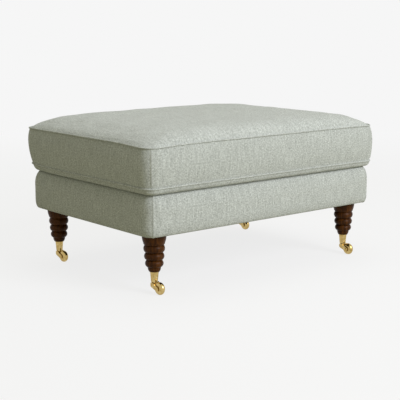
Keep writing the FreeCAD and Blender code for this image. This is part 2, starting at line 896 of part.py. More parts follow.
def cushion_pieces():
    """Foam, fibre wrap, cover, both pipings and the zip's tape with its teeth."""
    inner = cushion_body(cushion_cloth)
    skin = cushion_body(0).cut(inner)
    upper, lower = piping_centres()
    groove = piping_radius + soft_ease / 2
    cover = skin.cut(piping(upper.x, upper.z, groove)).cut(piping(lower.x, lower.z, groove))
    cover = cover.cut(zip_room(0))
    wrap_inset = cushion_cloth + soft_ease
    core_inset = wrap_inset + wrap_thickness
    wrap = cushion_body(wrap_inset).cut(cushion_body(core_inset))
    middle = border_middle()
    back = cushion_depth / 2 + middle.x
    half = zip_length / 2 - soft_ease
    teeth = box(
        (-half, back - cushion_cloth / 2, middle.z - teeth_height / 2),
        (half, back + teeth_projection, middle.z + teeth_height / 2),
    )
    tape = skin.common(zip_room(soft_ease))
    return {
        "cushion_core": cushion_body(core_inset + soft_ease),
        "cushion_wrap": wrap.Solids[0],
        "cushion_cover": cover.Solids[0],
        "upper_piping": piping(upper.x, upper.z, piping_radius),
        "lower_piping": piping(lower.x, lower.z, piping_radius),
        "zip_tape": merged([tape, teeth]),
    }


def zip_datum():
    """The slider's place: a point on the border's surface at the zip's closed end."""
    middle = border_middle()
    return FreeCAD.Vector(zip_length / 2 - slider_start, cushion_depth / 2 + middle.x, middle.z)


def pull_hinge():
    """The point that the zip's pull swings about."""
    out = 2 * moving_gap + teeth_projection + slider_plate + lug_radius
    return zip_datum() + NORTH * out


def zip_slider():
    """Slider that straddles the teeth, with a bored lug for the pull."""
    datum = zip_datum()
    hinge = pull_hinge()
    plate_top = hinge.y - lug_radius
    body = box(
        (datum.x - slider_half_length, datum.y + 2 * moving_gap, datum.z - slider_half_height),
        (datum.x + slider_half_length, plate_top, datum.z + slider_half_height),
    )
    channel_half = teeth_height / 2 + moving_gap
    channel = box(
        (datum.x - BEYOND, datum.y - BEYOND, datum.z - channel_half),
        (datum.x + BEYOND, datum.y + teeth_projection + moving_gap, datum.z + channel_half),
    )
    left = hinge - EAST * lug_half_width
    eye = cylinder(lug_radius, left, EAST, 2 * lug_half_width)
    foot = box(
        (left.x, plate_top, hinge.z - lug_radius),
        (left.x + 2 * lug_half_width, hinge.y, hinge.z + lug_radius),
    )
    hole = cylinder(pull_pin_radius + running_clearance, left, EAST, 2 * lug_half_width)
    return merged([body.cut(channel), eye, foot]).cut(hole).Solids[0]


def zip_pull():
    """Tab that hangs from two ears on a pin through the slider's lug."""
    hinge = pull_hinge()
    thick = pull_thickness / 2
    ear_inner = lug_half_width + moving_gap
    ear_outer = ear_inner + pull_ear_width
    pin = cylinder(pull_pin_radius, hinge - EAST * ear_outer, EAST, 2 * ear_outer)
    pieces = [pin]
    for side in (-1, 1):
        start = hinge + EAST * (ear_inner if side > 0 else -ear_outer)
        pieces.append(cylinder(pull_ear_radius, start, EAST, pull_ear_width))
        pieces.append(box(
            (start.x, hinge.y - thick, hinge.z - pull_ear_length),
            (start.x + pull_ear_width, hinge.y + thick, hinge.z),
        ))
    pieces.append(box(
        (hinge.x - pull_half_width, hinge.y - thick, hinge.z - pull_length),
        (hinge.x + pull_half_width, hinge.y + thick, hinge.z - pull_ear_length),
    ))
    return merged(pieces)


# The whole stool, by name


def four_of(shapes):
    """Copies of pieces built about the Z axis, one set on each leg's axis."""
    return [moved(shape, x, y) for x, y in legs.values() for shape in shapes]


def all_pieces():
    pieces = frame_rails()
    back_right_block = corner_block()
    places = ("back_right", "back_left", "front_right", "front_left")
    for place, block in zip(places, mirrored(back_right_block)):
        pieces["corner_block_" + place] = block
    pieces["corner_dowels"] = Part.makeCompound(all_dowels())
    pieces["block_screws"] = Part.makeCompound(at_every_block(block_screw()))
    pieces["tee_nuts"] = Part.makeCompound(four_of([tee_nut()]))
    pieces["hanger_bolts"] = Part.makeCompound(four_of([hanger_bolt()]))
    pieces["cup_screws"] = Part.makeCompound(four_of(cup_screws()))
    single_spring = spring()
    single_clip = spring_clip()
    back_clip = single_clip.mirror(FreeCAD.Vector(), NORTH)
    pieces["zigzag_springs"] = Part.makeCompound([moved(single_spring, x, 0) for x in spring_places()])
    pieces["spring_clips"] = Part.makeCompound(
        [moved(clip, x, 0) for x in spring_places() for clip in (single_clip, back_clip)]
    )
    pieces["hessian_sheet"] = hessian_sheet()
    pieces["deck_pad"] = deck_pad()
    pieces["deck_cloth"] = deck_cloth()
    pieces["side_wadding"] = side_wadding()
    pieces["base_cover"] = base_cover()
    pieces["dust_cover"] = dust_cover()
    pieces["staples"] = Part.makeCompound(staples())
    own_axis = {
        "leg": leg(),
        "castor_cup": castor_cup(),
        "castor_horn": horn(),
        "swivel_pin": swivel_pin(),
        "wheel_axle": axle(),
        "castor_wheel": wheel(),
    }
    for name, shape in own_axis.items():
        for place, (x, y) in legs.items():
            pieces[name + "_" + place] = moved(shape, x, y)
    pieces.update(cushion_pieces())
    pieces["zip_slider"] = zip_slider()
    pieces["zip_pull"] = zip_pull()
    return pieces


os.makedirs("parts", exist_ok=True)
for name, shape in all_pieces().items():
    shape.exportStep("parts/" + name + ".step")
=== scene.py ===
"""Looks of an upholstered footstool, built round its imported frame.

Metres, in the frame's own axes: X along the stool's long side, Y to its back and Z up
from the floor. The padded pieces keep within a few millimetres of the solids they replace.
"""
import logging
import math
from dataclasses import dataclass
from enum import Enum
from functools import cache
from typing import ClassVar

import bpy
import numpy as np
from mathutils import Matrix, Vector
from mathutils.geometry import delaunay_2d_cdt


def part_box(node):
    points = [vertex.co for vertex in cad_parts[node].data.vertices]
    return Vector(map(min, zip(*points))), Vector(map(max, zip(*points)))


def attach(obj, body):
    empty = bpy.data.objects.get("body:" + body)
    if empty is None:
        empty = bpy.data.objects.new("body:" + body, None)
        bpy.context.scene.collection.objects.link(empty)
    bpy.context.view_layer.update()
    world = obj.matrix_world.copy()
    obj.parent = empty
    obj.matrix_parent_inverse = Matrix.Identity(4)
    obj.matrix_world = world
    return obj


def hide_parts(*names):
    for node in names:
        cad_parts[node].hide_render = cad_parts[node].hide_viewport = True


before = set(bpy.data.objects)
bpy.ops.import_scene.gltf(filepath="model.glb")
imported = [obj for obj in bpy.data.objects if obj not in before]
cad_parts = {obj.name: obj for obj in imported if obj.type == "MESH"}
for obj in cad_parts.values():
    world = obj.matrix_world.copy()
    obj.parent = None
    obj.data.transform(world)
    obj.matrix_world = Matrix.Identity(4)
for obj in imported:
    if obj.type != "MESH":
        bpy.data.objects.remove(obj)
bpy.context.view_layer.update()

MM = 0.001
CLOTH_MAP = "cloth"
QUARTER = math.pi / 2
UPWARD = Vector((0, 0, 1))
BACKWARD = Vector((0, 1, 0))
Colour = tuple[float, float, float, float]
log = logging.getLogger("footstool")


def srgb(red: float, green: float, blue: float) -> Colour:
    """Turn a display colour of 0 to 255 into the linear colour that a shader takes.

    Args:
        red: red on the display scale.
        green: green on the display scale.
        blue: blue on the display scale.

    Returns:
        The linear colour, with an alpha of 1.
    """
    linear = [
        level / 12.92 if level <= 0.04045 else ((level + 0.055) / 1.055) ** 2.4
        for level in (red / 255, green / 255, blue / 255)
    ]
    return (linear[0], linear[1], linear[2], 1.0)


class Place(Enum):
    """The stool's four legs, each with the sides of the middle that it stands on."""

    FRONT_LEFT = (-1, -1)
    FRONT_RIGHT = (1, -1)
    BACK_LEFT = (-1, 1)
    BACK_RIGHT = (1, 1)

    @property
    def word(self) -> str:
        """The place's word in the names of nodes and bodies."""
        return self.name.lower()


class Wire:
    """A socket that runs out of a node, with arithmetic that adds Math nodes."""

    def __init__(self, graph: "Graph", socket: bpy.types.NodeSocket) -> None:
        """Hold an output socket.

        Args:
            graph: the graph that the socket is in.
            socket: the output socket.
        """
        self.graph = graph
        self.socket = socket

    def __add__(self, other: "Wire | float") -> "Wire":
        """Add a wire or a number."""
        return self.graph.math("ADD", self, other)

    __radd__ = __add__

    def __sub__(self, other: "Wire | float") -> "Wire":
        """Take a wire or a number away."""
        return self.graph.math("SUBTRACT", self, other)

    def __rsub__(self, other: float) -> "Wire":
        """Take this wire away from a number."""
        return self.graph.math("SUBTRACT", other, self)

    def __mul__(self, other: "Wire | float") -> "Wire":
        """Multiply by a wire or a number."""
        return self.graph.math("MULTIPLY", self, other)

    __rmul__ = __mul__

    def __truediv__(self, other: "Wire | float") -> "Wire":
        """Divide by a wire or a number."""
        return self.graph.math("DIVIDE", self, other)

    def __mod__(self, other: "Wire | float") -> "Wire":
        """Remainder, which is never negative."""
        return self.graph.math("FLOORED_MODULO", self, other)

    def floor(self) -> "Wire":
        """Round down to a whole number."""
        return self.graph.math("FLOOR", self, 0.0)

    def folded(self, width: float) -> "Wire":
        """Run up and down again between 0 and a width."""
        return self.graph.math("PINGPONG", self, width)

    def wave(self) -> "Wire":
        """Swing between 0 and 1, once for each whole number."""
        return self.graph.math("SINE", self * (2 * math.pi), 0.0) * 0.5 + 0.5

    def larger(self, other: "Wire | float") -> "Wire":
        """The larger of this wire and another."""
        return self.graph.math("MAXIMUM", self, other)

    def length_with(self, other: "Wire") -> "Wire":
        """Length of the hypotenuse over this wire and another."""
        return self.graph.math("SQRT", self * self + other * other, 0.0)

    def eased(self, low: float, high: float) -> "Wire":
        """Rise smoothly from 0 at low to 1 at high.

        Args:
            low: the value that gives 0.
            high: the value that gives 1.

        Returns:
            The eased value.
        """
        return self.graph.add(
            "MapRange",
            {"interpolation_type": "SMOOTHSTEP"},
            {"Value": self, "From Min": low, "From Max": high},
        )

    def sibling(self, name: str) -> "Wire":
        """Another output of the same node, by its name."""
        return Wire(self.graph, self.socket.node.outputs[name])


class Graph:
    """The node tree of one material or world."""

    def __init__(self, tree: bpy.types.NodeTree) -> None:
        """Start with an empty tree.

        Args:
            tree: the tree to fill.
        """
        self.tree = tree
        tree.nodes.clear()

    def add(
        self,
        kind: str,
        settings: dict[str, object] | None = None,
        sockets: dict[str | int, object] | None = None,
        output: str | int = 0,
    ) -> Wire:
        """Add a node of any type.

        Args:
            kind: the node's type, without the word that all shader nodes begin with.
            settings: its own settings, which are set first.
            sockets: a value or a wire for each input that isn't left as it is.
            output: the output that is returned.

        Returns:
            The wire of that output.
        """
        node = self.tree.nodes.new("ShaderNode" + kind)
        for name, value in (settings or {}).items():
            setattr(node, name, value)
        for key, value in (sockets or {}).items():
            if isinstance(value, Wire):
                self.tree.links.new(value.socket, node.inputs[key])
            else:
                node.inputs[key].default_value = value
        return Wire(self, node.outputs[output] if node.outputs else None)

    def math(self, operation: str, first: Wire | float, second: Wire | float) -> Wire:
        """Add a Math node.

        Args:
            operation: the node's operation.
            first: the first value.
            second: the second value.

        Returns:
            The result.
        """
        return self.add("Math", {"operation": operation}, {0: first, 1: second})

    def blend(self, share: Wire | float, low: Wire | Colour, high: Wire | Colour) -> Wire:
        """Mix two colours.

        Args:
            share: how much of the second colour there is.
            low: the first colour.
            high: the second colour.

        Returns:
            The mixed colour.
        """
        return self.add("Mix", {"data_type": "RGBA"}, {0: share, 6: low, 7: high}, 2)

    def shaded(self, colour: Wire | Colour, level: Wire) -> Wire:
        """Multiply a colour by a value.

        Args:
            colour: the colour.
            level: the value, where 1 leaves the colour as it is.

        Returns:
            The darker or lighter colour.
        """
        return self.add("VectorMath", {"operation": "SCALE"}, {0: colour, "Scale": level})

    def stretched(self, vector: Wire, scale: tuple[float, float, float]) -> Wire:
        """Multiply a vector by a number along each axis.

        Args:
            vector: the vector.
            scale: the three numbers.

        Returns:
            The stretched vector.
        """
        return self.add("VectorMath", {"operation": "MULTIPLY"}, {0: vector, 1: scale})

    def noise(self, vector: Wire, scale: float, detail: float = 2.0, rough: float = 0.5) -> Wire:
        """Add a cloudy noise.

        Args:
            vector: where on the surface it is read.
            scale: how many clouds there are to a metre.
            detail: how many finer layers it has.
            rough: how strong the finer layers are.

        Returns:
            A value about 0.5.
        """
        sockets = {"Vector": vector, "Scale": scale, "Detail": detail, "Roughness": rough}
        return self.add("TexNoise", {}, sockets)

    def cloth_run(self, turn: float = 0.0) -> tuple[Wire, Wire, Wire]:
        """Read how far a point lies along its panel of cloth.

        Args:
            turn: how far the cloth is turned on the panel, in radians.

        Returns:
            The whole vector, the distance across the warp and the distance along it.
        """
        flat = self.add("UVMap", {"uv_map": CLOTH_MAP})
        if turn:
            settings = {"rotation_type": "Z_AXIS"}
            flat = self.add("VectorRotate", settings, {"Vector": flat, "Angle": turn})
        along = self.add("SeparateXYZ", {}, {"Vector": flat})
        return flat, along, along.sibling("Y")

    def object_place(self) -> Wire:
        """Read a point's place in its own piece, which moves with the piece."""
        return self.add("TexCoord", {}, {}, "Object")

    def bump(self, height: Wire, distance: float) -> Wire:
        """Turn a height into a normal.

        Args:
            height: the height, from 0 to 1.
            distance: what a height of 1 stands for, in metres.

        Returns:
            The bumped normal.
        """
        return self.add("Bump", {}, {"Height": height, "Distance": distance})

    def surface(self, colour: Wire | Colour, roughness: Wire | float, **sockets: object) -> Wire:
        """Add the main shader.

        Args:
            colour: its base colour.
            roughness: its roughness.
            sockets: its other sockets, with underscores for spaces.

        Returns:
            The shader's wire.
        """
        chosen = {name.replace("_", " "): value for name, value in sockets.items()}
        return self.add(
            "BsdfPrincipled", {}, {"Base Color": colour, "Roughness": roughness, **chosen}
        )


class Finish:
    """A surface finish, which becomes one material that its pieces share."""

    title: ClassVar[str] = "finish"

    def paint(self, graph: Graph) -> Wire:
        """Build the finish's shader.

        Args:
            graph: the graph to build it in.

        Returns:
            The shader's wire.
        """
        raise NotImplementedError

    @cache
    def material(self) -> bpy.types.Material:
        """Make the material, once for each finish.

        Returns:
            The material.
        """
        made = bpy.data.materials.new(self.title)
        made.use_nodes = True
        graph = Graph(made.node_tree)
        graph.add("OutputMaterial", {}, {"Surface": self.paint(graph)})
        return made


@dataclass(frozen=True)
class HerringboneCloth(Finish):
    """Heathered twill whose diagonals turn back at every band."""

    title: ClassVar[str] = "herringbone_cloth"
    light: Colour = srgb(224, 229, 225)
    dark: Colour = srgb(122, 126, 121)
    band: float = 13 * MM
    twill: float = 4.2 * MM
    thread: float = 0.95 * MM
    fleck: float = 4.4 * MM
    turn: float = 0.0
    relief: float = 0.35 * MM

    def paint(self, graph: Graph) -> Wire:
        """Build the cloth's shader.

        Args:
            graph: the graph to build it in.

        Returns:
            The shader's wire.
        """
        flat, across, along = graph.cloth_run(self.turn)
        reversal = (across / self.band).floor() % 2
        diagonal = (along + across.folded(self.band)) / self.twill + reversal * 0.5
        twill = diagonal.wave()
        threads = (across / self.thread).wave() * (along / self.thread).wave()
        heather = graph.noise(flat, 1 / self.fleck, 4.0, 0.75)
        slub = graph.noise(graph.stretched(flat, (1.0, 0.12, 1.0)), 1 / (1.2 * self.fleck))
        cloud = graph.noise(flat, 1 / (90 * MM), 2.0)
        share = (
            0.5
            + (twill.eased(0.15, 0.85) - 0.5) * 0.4
            + (heather - 0.5) * 2.0
            + (slub - 0.5) * 0.5
            + (threads - 0.25) * 0.2
        )
        colour = graph.shaded(
            graph.blend(share.eased(-0.2, 1.2), self.dark, self.light),
            (cloud - 0.5) * 0.14 + 1.0,
        )
        height = twill * 0.5 + heather * 0.3 + threads * 0.3
        return graph.surface(
            colour,
            0.92 - heather * 0.1,
            Normal=graph.bump(height, self.relief),
            Specular_IOR_Level=0.25,
            Sheen_Weight=0.12,
            Sheen_Roughness=0.6,
        )


@dataclass(frozen=True)
class PlainWeave(Finish):
    """A plain cloth of crossing threads, from fine lining to coarse hessian."""

    title: ClassVar[str] = "plain_weave"
    light: Colour = srgb(200, 200, 190)
    dark: Colour = srgb(150, 150, 140)
    thread: float = 1.2 * MM
    relief: float = 0.2 * MM
    roughness: float = 0.9

    def paint(self, graph: Graph) -> Wire:
        """Build the cloth's shader.

        Args:
            graph: the graph to build it in.

        Returns:
            The shader's wire.
        """
        flat, across, along = graph.cloth_run()
        odd = ((across / self.thread).floor() + (along / self.thread).floor()) % 2
        warp = (across / self.thread).folded(0.5) * 2
        weft = (along / self.thread).folded(0.5) * 2
        over = odd * warp + (1 - odd) * weft
        uneven = graph.noise(flat, 1 / (9 * MM), 3.0, 0.6)
        share = over * 0.5 + uneven * 0.9 - 0.2
        return graph.surface(
            graph.blend(share.eased(0.0, 1.0), self.dark, self.light),
            self.roughness - uneven * 0.1,
            Normal=graph.bump(over * 0.7 + uneven * 0.3, self.relief),
            Specular_IOR_Level=0.2,
        )


@dataclass(frozen=True)
class MattedFibre(Finish):
    """Felt, wadding or foam, with no thread to it."""

    title: ClassVar[str] = "matted_fibre"
    light: Colour = srgb(226, 222, 210)
    dark: Colour = srgb(186, 180, 166)
    grain: float = 2.0 * MM
    relief: float = 0.6 * MM

    def paint(self, graph: Graph) -> Wire:
        """Build the fibre's shader.

        Args:
            graph: the graph to build it in.

        Returns:
            The shader's wire.
        """
        place = graph.object_place()
        fibre = graph.noise(place, 1 / self.grain, 4.0, 0.7)
        patch = graph.noise(place, 1 / (30 * MM), 2.0)
        share = (fibre * 0.7 + patch * 0.5 - 0.1).eased(0.2, 0.9)
        return graph.surface(
            graph.blend(share, self.dark, self.light),
            0.98 - fibre * 0.08,
            Normal=graph.bump(fibre, self.relief),
            Specular_IOR_Level=0.1,
        )


@dataclass(frozen=True)
class Timber(Finish):
    """Wood with its grain along one axis, bare or stained and polished."""

    title: ClassVar[str] = "timber"
    light: Colour = srgb(204, 172, 130)
    dark: Colour = srgb(160, 122, 80)
    grain_axis: int = 2
    ring: float = 5 * MM
    gloss: float = 0.3
    roughness: float = 0.62
    relief: float = 0.15 * MM

    def paint(self, graph: Graph) -> Wire:
        """Build the wood's shader.

        Args:
            graph: the graph to build it in.

        Returns:
            The shader's wire.
        """
        place = graph.object_place()
        fine = [1.0, 1.0, 1.0]
        fine[self.grain_axis] = 0.04
        lengthwise = graph.stretched(place, tuple(fine))
        fibre = graph.noise(lengthwise, 1 / (1.1 * MM), 3.0, 0.65)
        figure = graph.noise(lengthwise, 1 / (14 * MM), 2.0, 0.5)
        rings = (figure * (14 * MM / self.ring)).wave()
        pores = fibre.eased(0.28, 0.42)
        share = figure * 0.5 + rings * 0.3 + fibre * 0.35 - 0.1
        colour = graph.shaded(
            graph.blend(share.eased(0.1, 1.0), self.dark, self.light), pores * 0.3 + 0.7
        )
        return graph.surface(
            colour,
            self.roughness + fibre * 0.12 - 0.06,
            Normal=graph.bump(pores * 0.6 + fibre * 0.4, self.relief),
            Specular_IOR_Level=self.gloss,
        )


@dataclass(frozen=True)
class Metal(Finish):
    """Metal that is polished, brushed or cast, with slight smears on it."""

    title: ClassVar[str] = "metal"
    bright: Colour = srgb(208, 184, 126)
    dull: Colour = srgb(176, 148, 86)
    roughness: float = 0.1
    smear: float = 0.12
    relief: float = 0.02 * MM

    def paint(self, graph: Graph) -> Wire:
        """Build the metal's shader.

        Args:
            graph: the graph to build it in.

        Returns:
            The shader's wire.
        """
        place = graph.object_place()
        smears = graph.noise(place, 1 / (9 * MM), 3.0, 0.6)
        turning = graph.noise(graph.stretched(place, (1.0, 1.0, 6.0)), 1 / (2.2 * MM), 2.0)
        return graph.surface(
            graph.blend(smears.eased(0.3, 0.7), self.bright, self.dull),
            self.roughness + (smears - 0.4).larger(0.0) * self.smear,
            Metallic=1.0,
            Normal=graph.bump(turning, self.relief),
        )


COVER_CLOTH = HerringboneCloth()
PIPING_CLOTH = HerringboneCloth(turn=math.pi / 4)
WALNUT = Timber(
    light=srgb(98, 58, 22),
    dark=srgb(48, 25, 8),
    ring=3.2 * MM,
    gloss=0.08,
    roughness=0.36,
    relief=0.08 * MM,
)
RAIL_TIMBER = Timber(grain_axis=0)
SIDE_TIMBER = Timber(grain_axis=1)
BRASS = Metal()
STEEL = Metal(bright=srgb(196, 196, 198), dull=srgb(168, 168, 172), roughness=0.3)
LINING = PlainWeave(light=srgb(58, 57, 56), dark=srgb(26, 26, 27), thread=0.9 * MM)
DECK_LINING = PlainWeave(light=srgb(190, 192, 180), dark=srgb(150, 152, 140), thread=0.8 * MM)
HESSIAN = PlainWeave(
    light=srgb(190, 164, 122), dark=srgb(116, 92, 60), thread=2.2 * MM, relief=0.6 * MM
)
TAPE = PlainWeave(light=srgb(170, 172, 160), dark=srgb(128, 130, 118), thread=0.7 * MM)
FELT = MattedFibre()
WADDING = MattedFibre(light=srgb(240, 238, 230), dark=srgb(214, 210, 200), grain=3 * MM)
FOAM = MattedFibre(light=srgb(232, 222, 184), dark=srgb(200, 188, 146), grain=1.2 * MM)
THREAD = PlainWeave(light=srgb(206, 208, 198), dark=srgb(170, 172, 160), thread=0.4 * MM)


class Surface:
    """Gathers the points, faces and cloth runs of one piece's mesh."""

    def __init__(self) -> None:
        """Start empty."""
        self.points: list[np.ndarray] = []
        self.faces: list[np.ndarray] = []
        self.runs: list[np.ndarray] = []
        self.count = 0

    def add_points(self, points: np.ndarray) -> np.ndarray:
        """Add points.

        Args:
            points: an array whose last axis is x, y, z.

        Returns:
            Their numbers, in the array's own shape.
        """
        shape = points.shape[:-1]
        numbers = np.arange(self.count, self.count + math.prod(shape)).reshape(shape)
        self.points.append(points.reshape(-1, 3))
        self.count += math.prod(shape)
        return numbers

    def add_grid(self, numbers: np.ndarray, runs: np.ndarray, flip: bool = False) -> None:
        """Add a grid of four-sided faces.

        Args:
            numbers: the grid's point numbers, rows by columns.
            runs: how far each point lies across and along the cloth, in metres.
            flip: turn the faces over.
        """
        corners = [(0, 0), (0, 1), (1, 1), (1, 0)]
        if flip:
            corners.reverse()
        rows, columns = numbers.shape
        faces = [numbers[r : rows - 1 + r, c : columns - 1 + c].ravel() for r, c in corners]
        spans = [runs[r : rows - 1 + r, c : columns - 1 + c].reshape(-1, 2) for r, c in corners]
        self.faces.append(np.stack(faces, axis=1))
        self.runs.append(np.stack(spans, axis=1))

    def add_faces(self, corners: np.ndarray, runs: np.ndarray) -> None:
        """Add faces that are all of one number of sides.

        Args:
            corners: the point numbers of each face, one face to a row.
            runs: how far each of those corners lies across and along the cloth, in metres.
        """
        self.faces.append(corners)
        self.runs.append(runs)

    def piece(self, name: str) -> bpy.types.Object:
        """Make the piece.

        Args:
            name: its name.

        Returns:
            The new object, in the scene.
        """
        points = np.concatenate(self.points)
        faces = np.concatenate(self.faces)
        mesh = bpy.data.meshes.new(name)
        mesh.from_pydata(points.tolist(), [], faces.tolist())
        layer = mesh.uv_layers.new(name=CLOTH_MAP)
        layer.data.foreach_set("uv", np.concatenate(self.runs).astype(np.float32).ravel())
        mesh.shade_smooth()
        made = bpy.data.objects.new(name, mesh)
        bpy.context.scene.collection.objects.link(made)
        return made


def points_of(mesh: bpy.types.Mesh) -> np.ndarray:
    """Read a mesh's points.

    Args:
        mesh: the mesh.

    Returns:
        One row of x, y, z for each point.
    """
    places = np.empty(len(mesh.vertices) * 3, np.float32)
    mesh.vertices.foreach_get("co", places)
    return places.reshape(-1, 3).astype(float)


def set_points(mesh: bpy.types.Mesh, places: np.ndarray) -> None:
    """Move a mesh's points.

    Args:
        mesh: the mesh.
        places: one row of x, y, z for each point.
    """
    mesh.vertices.foreach_set("co", places.astype(np.float32).ravel())
    mesh.update()


def normals_of(mesh: bpy.types.Mesh) -> np.ndarray:
    """Read the outward direction at each of a mesh's points.

    Args:
        mesh: the mesh.

    Returns:
        One row of x, y, z for each point.
    """
    ways = np.empty(len(mesh.vertices) * 3, np.float32)
    mesh.vertex_normals.foreach_get("vector", ways)
    return ways.reshape(-1, 3).astype(float)


def ripple(places: np.ndarray, shortest: float, longest: float, seed: int) -> np.ndarray:
    """Smooth unevenness made of a few crossing waves.

    Args:
        places: where it is read, one row for each point.
        shortest: the shortest wave, in metres.
        longest: the longest wave, in metres.
        seed: which unevenness it is.

    Returns:
        A height of about -1 to 1 for each point.
    """
    chance = np.random.default_rng(seed)
    waves = 14
    total = np.zeros(len(places))
    for _ in range(waves):
        way = chance.normal(size=places.shape[1])
        way /= np.linalg.norm(way)
        length = shortest * (longest / shortest) ** chance.random()
        total += np.sin(places @ way * (2 * math.pi / length) + chance.random() * 2 * math.pi)
    return total / math.sqrt(waves)


@dataclass(frozen=True)
class Stations:
    """Places round a rounded rectangle, walked anticlockwise from its front left seam."""

    place: np.ndarray
    outward: np.ndarray
    run: np.ndarray
    panel_cells: tuple[int, int]
    corner: float
    least_corner: float = 0.6 * MM

    @property
    def starts(self) -> list[int]:
        """The station where each panel starts, and the last one's end."""
        wide, deep = self.panel_cells
        return [0, wide, wide + deep, 2 * wide + deep, 2 * (wide + deep)]

    def gap_to_seam(self) -> np.ndarray:
        """Distance along the outline from each station to the nearest corner's seam."""
        seams = self.run[self.starts]
        return np.abs(self.run[:-1, None] - seams[None, :]).min(axis=1)

    def ring(self, out: np.ndarray | float, height: np.ndarray | float) -> np.ndarray:
        """Points round the outline, whose corners tighten until they are nearly square.

        Args:
            out: how far they stand outside it, one number or one for each station.
            height: their height, one number or one for each station.

        Returns:
            One row of x, y, z for each station.
        """
        count = len(self.place)
        out = np.broadcast_to(out, count)[:, None]
        reach = np.maximum(out, min(self.least_corner - self.corner, 0))
        half = self.place.max(axis=0)
        flat = (self.place + self.outward * reach) * (half + out) / (half + reach)
        return np.column_stack([flat, np.broadcast_to(height, count)])


@dataclass(frozen=True)
class Outline:
    """A rounded rectangle about the middle of the stool, with a seam in each corner."""

    half_x: float
    half_y: float
    corner: float
    end_share: float = 0.5
    bend_cells: int = 16

    def _panel(
        self, along: float, across: float, step: float, share: float
    ) -> tuple[np.ndarray, ...]:
        """Walk one side, drawn as the front side, from one corner's seam to the next.

        Args:
            along: half the side's length.
            across: how far the side is from the middle.
            step: about how far apart the stations are.
            share: how much of each corner's bend belongs to this side.

        Returns:
            Places, outward directions and distances walked.
        """
        bend = self.corner * QUARTER * share
        straight = 2 * (along - self.corner)
        cells = max(round(straight / step), 2)
        curve = np.linspace(0, bend, max(round(self.bend_cells * share), 2) + 1)
        level = bend + np.linspace(0, straight, cells + 1)[1:]
        run = np.concatenate([curve, level, bend + straight + curve[1:]])
        turned = np.clip(run, 0, bend) + np.clip(run - bend - straight, 0, bend)
        angle = turned / self.corner - (1 + share) * QUARTER
        outward = np.column_stack([np.cos(angle), np.sin(angle)])
        centre_x = np.clip(run - bend, 0, straight) - straight / 2
        centre = np.column_stack([centre_x, np.full(len(run), self.corner - across)])
        return centre + outward * self.corner, outward, run

    def stations(self, step: float) -> Stations:
        """Walk the whole outline.

        Args:
            step: about how far apart the stations are.

        Returns:
            The stations, whose runs have one more entry for the way back to the start.
        """
        places, ways, runs, cells, walked = [], [], [], [], 0.0
        for turn in range(4):
            odd = turn % 2 == 1
            along, across = (self.half_y, self.half_x) if odd else (self.half_x, self.half_y)
            share = self.end_share if odd else 1 - self.end_share
            place, outward, run = self._panel(along, across, step, share)
            spin = np.array([[0.0, 1.0], [-1.0, 0.0]])
            spin = np.linalg.matrix_power(spin, turn)
            places.append((place @ spin)[:-1])
            ways.append((outward @ spin)[:-1])
            runs.append(run[:-1] + walked)
            cells.append(len(run) - 1)
            walked += run[-1]
        runs.append(np.array([walked]))
        return Stations(
            np.concatenate(places), np.concatenate(ways), np.concatenate(runs), tuple(cells[:2]),
            self.corner,
        )

    def depth_inside(self, flat: np.ndarray) -> np.ndarray:
        """Distance from points in plan to the outline, where inside is positive.

        Args:
            flat: one row of x, y for each point.

        Returns:
            The distance of each point.
        """
        over = np.abs(flat) - [self.half_x - self.corner, self.half_y - self.corner]
        outside = np.linalg.norm(np.maximum(over, 0), axis=1)
        return self.corner - outside - np.minimum(over.max(axis=1), 0)

    def nearest_on_corner(self, flat: np.ndarray) -> np.ndarray:
        """The outline's nearest point in plan, for points beside its corners.

        Args:
            flat: one row of x, y for each point.

        Returns:
            One row of x, y for each point, on a straight side where none is beside a corner.
        """
        inner = np.array([self.half_x - self.corner, self.half_y - self.corner])
        over = np.maximum(np.abs(flat) - inner, 1e-9)
        beside = (np.abs(flat) > inner).all(axis=1)[:, None]
        reach = over / np.linalg.norm(over, axis=1)[:, None] * self.corner
        return np.where(beside, inner + reach, inner + self.corner)


def seam_ridge(outline: Outline, places: np.ndarray, width: float) -> np.ndarray:
    """Height of a ridge along the seam in each corner.

    Args:
        outline: the form's outline, which says where the seams are.
        places: one row of x, y, z for each point.
        width: half the ridge's width.

    Returns:
        A height of 0 to 1 for each point.
    """
    inner = np.array([outline.half_x, outline.half_y]) - outline.corner
    over = np.maximum(np.abs(places[:, :2]) - inner, 0)
    turn = np.arctan2(over[:, 1], over[:, 0]) - outline.end_share * QUARTER
    height = np.exp(-((turn * outline.corner / width) ** 2))
    return np.where(over.min(axis=1) > 0, height, 0)


def quarter_round(start: tuple, bend: tuple, end: tuple, steps: int) -> list[tuple]:
    """Points on a quarter of an ellipse.

    Args:
        start: its first point, as distance out and height.
        bend: the corner that it rounds.
        end: its last point.
        steps: how many steps it has.

    Returns:
        The points, with both ends.
    """
    found = []
    for angle in np.linspace(0, QUARTER, steps + 1):
        from_start, from_end = 1 - math.sin(angle), 1 - math.cos(angle)
        found.append(tuple(
            b + (s - b) * from_start + (e - b) * from_end for s, b, e in zip(start, bend, end)
        ))
    return found


